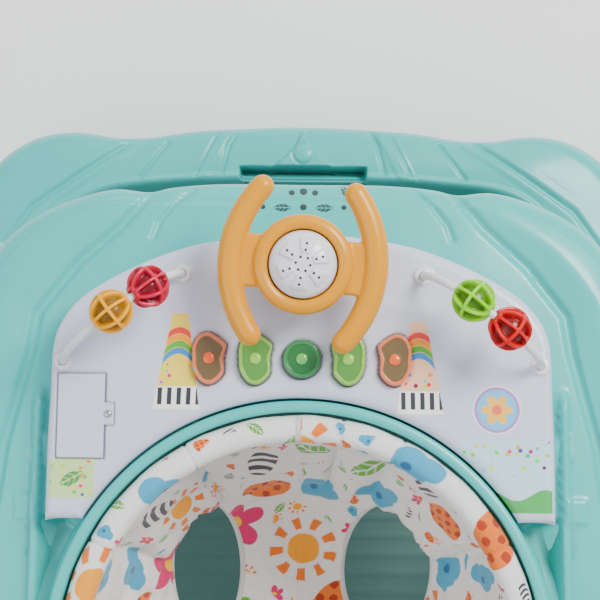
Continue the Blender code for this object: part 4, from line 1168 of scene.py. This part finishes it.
def arches():
    """Two white wire arches set in the console, each with two ribbed beads."""
    inks = {"yellow": (linear(246, 170, 0), "yellow_plastic"), "pink": (PINK, "pink_plastic"),
            "red": (linear(214, 10, 16), "red_plastic"), "lime": (linear(140, 222, 0), "lime_plastic")}
    # Painted shade: in the recesses between the ribs each bead turns to 0.28 of its colour.
    paints = {
        word: plastic("bead_" + word, ink, 0.24, 0.05, 0.2, 0.0,
                      by_mark([("painted_shade", tuple(0.28 * part for part in ink))]), Specular_IOR_Level=0.35)
        for word, (ink, _) in inks.items()
    }
    for side, word, colours in ((-1, "left", (("outer", "yellow"), ("inner", "pink"))),
                                (1, "right", (("outer", "red"), ("inner", "lime")))):
        local = arch_frame(side)
        a = np.linspace(0, np.pi, steps(90))
        arc = np.stack([-ARCH_R * np.cos(a), 0 * a, ARCH_R * np.sin(a)], 1)
        path = np.vstack([[(-ARCH_R, 0, -0.0150), (-ARCH_R, 0, -0.0075)], arc,
                          [(ARCH_R, 0, -0.0075), (ARCH_R, 0, -0.0150)]])
        bar = sweep("wire_%s_visual" % word, path, 0.0030, 24)
        collars = [bar]
        for end in (-1, 1):
            collar = turned("collar", [
                (0.0031, 0.0042), (0.0056, 0.0042), (0.0068, 0.0054), (0.0062, 0.0066),
                (0.0034, 0.0070), (0.0031, 0.0066)], 48, Matrix.Translation((end * ARCH_R, 0, 0)))
            collars.append(collar)
        bar = join("wire_%s_visual" % word, collars)
        bar.data.transform(local)
        finish_mesh(bar, "tray", M_WIRE, ["bead_wire_" + word])
        for (place, colour), way in zip(colours, (-1, 1)):
            angle = way * BEAD_ANGLE + BEAD_SHIFT[side]
            centre = (ARCH_R * math.sin(angle), 0, ARCH_R * math.cos(angle))
            bead = bead_shape("bead_%s_%s_visual" % (word, place))
            bead.data.transform(
                local @ Matrix.Translation(centre) @ Matrix.Rotation(angle + math.pi / 2, 4, "Y"))
            name = "bead_%s_%s" % (word, place)
            finish_mesh(bead, name, paints[colour], [name])


def battery_cover():
    """The cover with its tab, and the screw head."""
    top = CONSOLE_TOP + 0.0004
    outline = []
    x0, x1, y0, y1, tab_low, tab_high, tab_x = -0.178, -0.144, 0.028, 0.089, 0.052, 0.068, -0.137
    for x, y in ((x0, y0), (x1, y0), (x1, tab_low), (tab_x, tab_low), (tab_x, tab_high),
                 (x1, tab_high), (x1, y1), (x0, y1)):
        outline.append((x, y))
    corners = np.array(outline)
    fine = []
    for a, b in zip(corners, np.roll(corners, -1, 0)):
        fine.append(a + (b - a) * np.linspace(0.02, 0.98, 14)[:, None])
    plate_ = slab("cover_visual", np.vstack(fine), CONSOLE_TOP - 0.0025, top, 0.0006, 4,
                  (-0.158, 0.060))
    finish_mesh(plate_, "tray", M_COVER, ["battery_cover"])
    head = turned("screw_visual", [(0, 0.0020), (0.0018, 0.0018), (0.0029, 0.0009), (0.0029, 0.0002),
                                   (0, 0.0002)], 40, Matrix.Translation((-0.141, 0.060, top)))
    finish_mesh(head, "tray", M_STEEL, ["battery_screw"])


# ------------------------------------------------------------------ seat

SEAMS = np.radians([-29.6, 10.5, 26.2, 62, 98, 134, 168, -62, -98, -134, -168])
LEG_HOLES = ((-0.078, -0.060, 0.029, 0.058), (0.074, -0.060, 0.037, 0.058))
BOWL = ((0.1725, 0.4000), (0.1708, 0.3720), (0.1580, 0.3220), (0.1355, 0.2740), (0.1075, 0.2340),
        (0.0650, 0.2100), (0.0300, 0.2022), (0.0, 0.2008))


def smooth_line(points, count):
    """A Catmull-Rom line through the points."""
    p = np.array(points, float)
    p = np.vstack([2 * p[0] - p[1], p, 2 * p[-1] - p[-2]])
    t = np.linspace(0, len(points) - 1, count)
    i = np.minimum(t.astype(int), len(points) - 2)
    f = (t - i)[:, None]
    a, b, c, d = p[i], p[i + 1], p[i + 2], p[i + 3]
    return 0.5 * (2 * b + (c - a) * f + (2 * a - 5 * b + 4 * c - d) * f**2
                  + (3 * b - a - 3 * c + d) * f**3)


def seam_distance(turns, radius):
    """How far round the ring each point is from the nearest seam."""
    away = np.abs(np.angle(np.exp(1j * (turns[..., None] - SEAMS)))).min(-1)
    return away * radius


def pillow(distance, width):
    """A quarter-round rise over that width."""
    return np.sqrt(np.clip(1 - (1 - np.clip(distance / width, 0, 1)) ** 2, 0, 1))


def wrinkle(u, v, scale):
    """Soft irregular folds from a few fixed waves."""
    out = 0
    for k, (a, b, c) in enumerate(((1.0, 0.6, 0.3), (-0.7, 1.3, 1.9), (1.9, 0.4, 4.0), (0.5, -1.7, 2.6))):
        out = out + np.sin((a * u + b * v) * scale * (1 + 0.31 * k) + c) / (1 + 0.5 * k)
    return out / 2.5


def bowl_z(radius):
    line = smooth_line(BOWL, 400)[::-1]
    return np.interp(radius, line[:, 0], line[:, 1])


def seat_sling():
    """A bowl by angle and distance down its side, cut at two leg holes, padded near the top."""
    m, n = steps(380), steps(122)
    line = smooth_line(BOWL, n)
    along = np.concatenate([[0], np.cumsum(np.hypot(*np.diff(line, axis=0).T))])
    turns = np.linspace(0, 2 * np.pi, m, endpoint=False)[:, None]
    r, z = line[:, 0] + 0 * turns, line[:, 1] + 0 * turns
    s = along + 0 * turns
    folds = wrinkle(turns * 0.16 * 60, s * 60, 1.0) * 0.0016 * ease(0.04, 0.10, s) * ease(0.0, 0.05, r)
    hang = bump(np.abs(z - 0.256), 0.012) * 0.004
    r2 = np.maximum(r - np.abs(folds) * 0.6 - hang * ease(0, 0.1, r), 0)
    z2 = z + folds
    x, y = r2 * np.sin(turns), r2 * np.cos(turns)
    flat = np.stack([(along[-1] - s) * np.sin(turns), (along[-1] - s) * np.cos(turns)], -1)
    y = y + RING[1]
    obj = surface("sling_visual", np.stack([x, y, z2], -1), wrap_u=True, uv=flat, weld=False)
    pad = ease(0.258, 0.278, z) * pillow(seam_distance(turns + 0 * s, r), 0.022)
    pad = pad * (0.85 + 0.25 * wrinkle(turns * 10, s * 70, 1.0))
    grid = bmesh.new()
    grid.from_mesh(obj.data)
    thick = grid.verts.layers.float.new("thick")
    pads = pad.ravel()
    grid.verts.ensure_lookup_table()
    for vert, value in zip(grid.verts, pads.tolist()):
        vert[thick] = value

    def level(vert, hole):
        return math.hypot((vert.co.x - hole[0]) / hole[2], (vert.co.y - hole[1]) / hole[3])

    doomed = [v for v in grid.verts if min(level(v, LEG_HOLES[0]), level(v, LEG_HOLES[1])) < 0.985]
    bmesh.ops.delete(grid, geom=doomed, context="VERTS")
    for vert in grid.verts:
        for hole in LEG_HOLES:
            k = level(vert, hole)
            if vert.is_boundary and k < 1.2:
                vert.co.x = hole[0] + (vert.co.x - hole[0]) / k
                vert.co.y = hole[1] + (vert.co.y - hole[1]) / k
    bmesh.ops.remove_doubles(grid, verts=grid.verts, dist=1e-6)
    grid.to_mesh(obj.data)
    grid.free()
    group_ = obj.vertex_groups.new(name="pad")
    weights = np.empty(len(obj.data.vertices), np.float32)
    obj.data.attributes["thick"].data.foreach_get("value", weights)
    for index, weight in enumerate(np.clip(weights, 0.0, 1.0).tolist()):
        group_.add([index], weight, "REPLACE")
    modifier(obj, "SOLIDIFY", thickness=0.0155, offset=-1.0, vertex_group="pad",
             thickness_vertex_group=0.13, use_even_offset=False, use_quality_normals=True)
    obj.vertex_groups.clear()
    finish_mesh(obj, "tray", M_PRINT, ["seat_sling"])
    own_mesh(obj)
    hems = []
    for cx, cy, half_x, half_y in LEG_HOLES:
        a = np.linspace(0, 2 * np.pi, steps(150), endpoint=False)
        x, y = cx + (half_x + 0.0004) * np.cos(a), cy + (half_y + 0.0004) * np.sin(a)
        radius = np.hypot(x, y - RING[1])
        hems.append(np.stack([x, y, bowl_z(radius) + 0.0006], 1))
    pieces = []
    for path in hems:
        pieces.append(tube_round("hem", path, 0.0024))
    hem = join("hem_visual", pieces)
    finish_mesh(hem, "tray", M_PIPING, [])
    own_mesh(hem)
    return obj


def tube_round(name, path, radius, sides=14):
    """A round bar along a closed line in space, its rings square to the line."""
    along = np.roll(path, -1, 0) - np.roll(path, 1, 0)
    along /= np.linalg.norm(along, axis=1, keepdims=True)
    side = np.cross(along, (0.0, 0.0, 1.0))
    side /= np.linalg.norm(side, axis=1, keepdims=True)
    up = np.cross(side, along)
    turns = np.linspace(0, 2 * np.pi, sides, endpoint=False)
    ring = np.cos(turns)[None, :, None] * side[:, None] + np.sin(turns)[None, :, None] * up[:, None]
    u = np.arange(len(path))[:, None] * 0.002 + 0 * turns
    v = turns[None] * radius + 0 * u
    return surface(name, path[:, None] + ring * radius, wrap_u=True, wrap_v=True,
                   uv=np.stack([u, v], -1))


def rim_shade(obj):
    """Presses a narrow crease into the roll along each seam."""
    spots = coords(obj)
    turns = np.arctan2(spots[:, 0], spots[:, 1] - RING[1])
    away = seam_distance(turns, 0.165)
    radius = np.hypot(spots[:, 0], spots[:, 1] - RING[1])
    out, up = radius - 0.1640, spots[:, 2] - 0.4110
    length = np.maximum(np.hypot(out, up), 1e-6)
    sink = 0.0013 * bump(away, 0.0019)
    radius = np.minimum(radius - sink * out / length, 0.1757)
    spots = np.stack([np.sin(turns) * radius, np.cos(turns) * radius + RING[1],
                      np.maximum(spots[:, 2] - sink * up / length, 0.3975)], 1)
    obj.data.vertices.foreach_set("co", spots.ravel())
    obj.data.update()


def inflate(obj, pinned, most):
    """Blows the closed cloth up from inside for twenty frames, with the seams held, then keeps it."""
    scene = bpy.context.scene
    held = obj.vertex_groups.new(name="held")
    held.add(pinned, 1.0, "REPLACE")
    made = obj.modifiers.new("cloth", "CLOTH")
    made.settings.quality = 6
    made.settings.mass = 0.2
    made.settings.tension_stiffness = made.settings.compression_stiffness = 12
    made.settings.bending_stiffness = 0.6
    made.settings.use_pressure = True
    made.settings.uniform_pressure_force = 4.0
    made.settings.vertex_group_mass = "held"
    made.settings.effector_weights.gravity = 0.0
    made.point_cache.frame_start, made.point_cache.frame_end = 1, 20
    rest = coords(obj)
    for number in range(1, 21):
        scene.frame_set(number)
    graph = bpy.context.evaluated_depsgraph_get()
    shown = obj.evaluated_get(graph).to_mesh()
    moved = np.empty(len(shown.vertices) * 3)
    shown.vertices.foreach_get("co", moved)
    obj.evaluated_get(graph).to_mesh_clear()
    shift = moved.reshape(-1, 3) - rest
    size = np.linalg.norm(shift, axis=1, keepdims=True)
    shift *= np.minimum(1, most / np.maximum(size, 1e-9))
    obj.modifiers.clear()
    obj.vertex_groups.clear()
    scene.frame_set(1)
    obj.data.vertices.foreach_set("co", (rest + shift).ravel())
    obj.data.update()


def seat_rim():
    """The padded roll over the ring: an oval section carried round, held at each seam and inflated."""
    m, n = 232, 18
    turns = np.linspace(0, 2 * np.pi, m, endpoint=False)[:, None]
    a = np.linspace(0, 2 * np.pi, n, endpoint=False)[None]
    away = seam_distance(turns, 0.165)
    puff = 0.80 + 0.16 * pillow(away, 0.026)
    ripple = 0.0006 * wrinkle(turns * 26, a * 1.6, 1.0)
    c, s = np.cos(a), np.sin(a)
    r = 0.1640 + 0.0104 * np.sign(c) * np.abs(c) ** 0.85 + ripple * c
    z = 0.4110 + 0.0118 * np.sign(s) * np.abs(s) ** 0.85 * np.where(s > 0, puff, 1.0) + ripple * s
    points = np.stack([r * np.sin(turns), r * np.cos(turns) + RING[1], z + 0 * turns], -1)
    flat = np.stack([turns * 0.165 + 0 * a, a * 0.0118 + 0.4 + 0 * turns], -1)
    obj = surface("rim_visual", points, wrap_u=True, wrap_v=True, uv=flat, weld=False)
    near = np.repeat((away < 0.0035).ravel()[:, None], n, 1) | (s < -0.75)
    inflate(obj, np.where(near.ravel())[0].tolist(), 0.0030)
    modifier(obj, "SUBSURF", levels=2, render_levels=2)
    rim_shade(obj)
    finish_mesh(obj, "tray", M_PRINT, ["seat_rim"])
    return obj


def seat_back():
    """A crowned pad on the rear of the ring, thick in the middle and drawn in at its edge."""
    m, n = steps(260), steps(120)
    turns = np.linspace(0, 2 * np.pi, m, endpoint=False)[:, None]
    t = np.linspace(0, np.pi, n)[None]
    c, s = np.cos(turns), np.sin(turns)
    square = (np.abs(c) ** 5 + np.abs(s) ** 5) ** (-1 / 5)
    reach = np.sin(t) ** 0.6 * square
    across, up = reach * c, reach * s
    fill = np.sign(np.cos(t)) * np.abs(np.cos(t)) ** 0.55
    level = 0.4115 + 0.0560 * up
    wide = 0.75 * (1 - 0.25 * ((level - 0.356) / 0.114) ** 3)
    angle = across * wide * 0.96
    groove = 0.35 * bump(np.abs(np.abs(angle) - 0.27) * 0.15, 0.0035)
    depth = 0.0066 * fill * (1 - groove * (fill > 0))
    radius = 0.1514 - 0.0062 - depth
    x, y = radius * np.sin(angle), -radius * np.cos(angle) + RING[1]
    flat = np.stack([angle * 0.15 + 0 * level, level + (fill < 0) * 0.2], -1)
    obj = surface("back_visual", np.stack([x, y, level + 0 * x], -1), wrap_u=True, uv=flat, weld=False)
    finish_mesh(obj, "tray", M_PRINT, ["seat_back"])
    return obj


# ------------------------------------------------------------------ frame, casters, small parts

def frame_point(x, s, falling):
    dy = math.sqrt(TUBE_L**2 - (HIGH_Z - LOW_Z) ** 2)
    rise = s * (HIGH_Z - LOW_Z) / TUBE_L
    return (x, REAR_Y + s * dy / TUBE_L, HIGH_Z - rise if falling else LOW_Z + rise)


def tubes():
    """Two U tubes with end plugs."""
    for name, half, falling in (("outer_frame", 0.226, False), ("inner_frame", 0.203, True)):
        flat = [(half, s) for s in np.linspace(-0.012, TUBE_L - 0.040, 24)]
        for turn in np.linspace(0, math.pi / 2, 14)[1:]:
            flat.append((half - 0.040 * (1 - math.cos(turn)), TUBE_L - 0.040 * (1 - math.sin(turn))))
        flat += [(-x, s) for x, s in reversed(flat)]
        path = np.array([frame_point(x, s, falling) for x, s in flat])
        bar = sweep(name + "_visual", path, 0.0095, 32, round_ends=False)
        caps = [bar]
        for end, inner in ((path[0], path[1]), (path[-1], path[-2])):
            out = (end - inner) / np.linalg.norm(end - inner)
            turn = Vector(out).to_track_quat("Z", "Y").to_matrix().to_4x4()
            caps.append(turned("plug", [(0, 0.0016), (0.0070, 0.0014), (0.0094, 0.0002), (0.0094, -0.001),
                                        (0, -0.001)], 32, Matrix.Translation(end) @ turn))
        finish_mesh(join(name + "_visual", caps), name, M_TUBE, [name])


def casters():
    """Each wheel turned round its axle: a soft tread, a step and a raised hub."""
    for word, x, y in (("front_left", -0.258, 0.292), ("front_right", 0.258, 0.292),
                       ("side_left", -0.281, 0.010), ("side_right", 0.281, 0.010),
                       ("rear_left", -0.276, -0.300), ("rear_right", 0.276, -0.300)):
        place = Matrix.Translation((x, y - 0.014, 0.018)) @ Matrix.Rotation(math.pi / 2, 4, "Y")
        wheel = turned("wheel_%s_visual" % word, [
            (0.0029, 0.0070), (0.0060, 0.0070), (0.0066, 0.0062), (0.0120, 0.0058), (0.0132, 0.0069),
            (0.0160, 0.0069), (0.0180, 0.0045), (0.0180, 0.0008), (0.0176, 0.0), (0.0180, -0.0008),
            (0.0180, -0.0045), (0.0160, -0.0069), (0.0132, -0.0069), (0.0120, -0.0058),
            (0.0066, -0.0062), (0.0060, -0.0070), (0.0029, -0.0070)], 72, place)
        finish_mesh(wheel, "wheel_" + word, M_WHEEL, ["caster_wheel_" + word])


def dress(material, *names):
    for name in names:
        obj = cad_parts[name]
        obj.data.materials.clear()
        obj.data.materials.append(material)


M_RAIL = plastic("rail_dark", DARK_TEAL_AND_MAT_SHADE, 0.5, 0.3)
LR = ("left", "right")
PLACES = [a + "_" + b for a in ("front", "side", "rear") for b in LR]
dress(M_BLACK, *["caster_fork_" + w for w in PLACES], *["slide_shoe_" + w for w in LR],
      *["crossbar_roller_" + w for w in LR], "console_base", "speaker")
dress(M_RAIL, *["rear_bracket_" + w for w in LR], *["tray_bracket_" + w for w in LR],
      *["tray_rail_" + w for w in LR], "height_rack")
dress(M_STEEL, "cross_rivet_left", "cross_rivet_right")
dress(M_RUBBER, "stopper_front", "stopper_rear")
dress(M_ORANGE, "height_release")
dress(M_CELL, "battery_cell_a", "battery_cell_b")
dress(M_BOARD, "circuit_board")
dress(M_COVER, "steering_column")

base_shell()
foot_mat()
tray_shell()
console_body()
speaker_dome()
steering_wheel()
buttons()
arches()
battery_cover()
seat_sling()
seat_rim()
seat_back()
tubes()
casters()



# ------------------------------------------------------------------ floor, light and camera

def stage_scene():
    floor_mesh = bpy.data.meshes.new("floor")
    floor_mesh.from_pydata([(-6, -6, 0), (6, -6, 0), (6, 6, 0), (-6, 6, 0)], [], [(0, 1, 2, 3)])
    floor = bpy.data.objects.new("floor", floor_mesh)
    bpy.context.scene.collection.objects.link(floor)
    pale = bpy.data.materials.new("floor")
    pale.use_nodes = True
    shader = pale.node_tree.nodes["Principled BSDF"]
    shader.inputs["Base Color"].default_value = (0.93, 0.93, 0.94, 1)
    shader.inputs["Roughness"].default_value = 0.7
    floor_mesh.materials.append(pale)
    world = bpy.data.worlds.new("studio")
    bpy.context.scene.world = world
    world.use_nodes = True
    world.node_tree.nodes["Background"].inputs["Color"].default_value = (0.93, 0.96, 1.0, 1)
    world.node_tree.nodes["Background"].inputs["Strength"].default_value = 0.84
    for name, place, size, power, colour in (
        ("key", (1.1, 0.9, 2.0), 0.8, 56, (1.0, 0.98, 0.95)),
        ("fill", (-1.4, -0.6, 1.8), 1.6, 18, (0.93, 0.96, 1.0)),
        ("back", (0.1, 1.9, 1.2), 1.2, 7, (1.0, 1.0, 1.0)),
    ):
        light = bpy.data.lights.new(name, "AREA")
        light.size, light.energy, light.color = size, power, colour
        obj = bpy.data.objects.new(name, light)
        obj.location = place
        obj.rotation_mode = "QUATERNION"
        obj.rotation_quaternion = (Vector((0, 0.05, 0.35)) - Vector(place)).to_track_quat("-Z", "Y")
        bpy.context.scene.collection.objects.link(obj)


def camera():
    """Almost overhead, from behind the seat: 82 degrees above the horizon."""
    tilt, roll, away = math.radians(7.7), math.radians(0.6), 1.10
    aim = Vector((-0.0018, 0.150, 0.390))
    forward = Vector((0, math.sin(tilt), -math.cos(tilt)))
    lens = bpy.data.cameras.new("camera")
    lens.lens = 36 / (2 * math.tan(math.radians(11.75)))
    lens.clip_start, lens.clip_end = 0.02, 30
    obj = bpy.data.objects.new("camera", lens)
    obj.rotation_mode = "QUATERNION"
    turn = forward.to_track_quat("-Z", "Y")
    obj.rotation_quaternion = turn @ Matrix.Rotation(roll, 4, "Z").to_quaternion()
    obj.location = aim - forward * away
    bpy.context.scene.collection.objects.link(obj)
    bpy.context.scene.camera = obj


stage_scene()
camera()
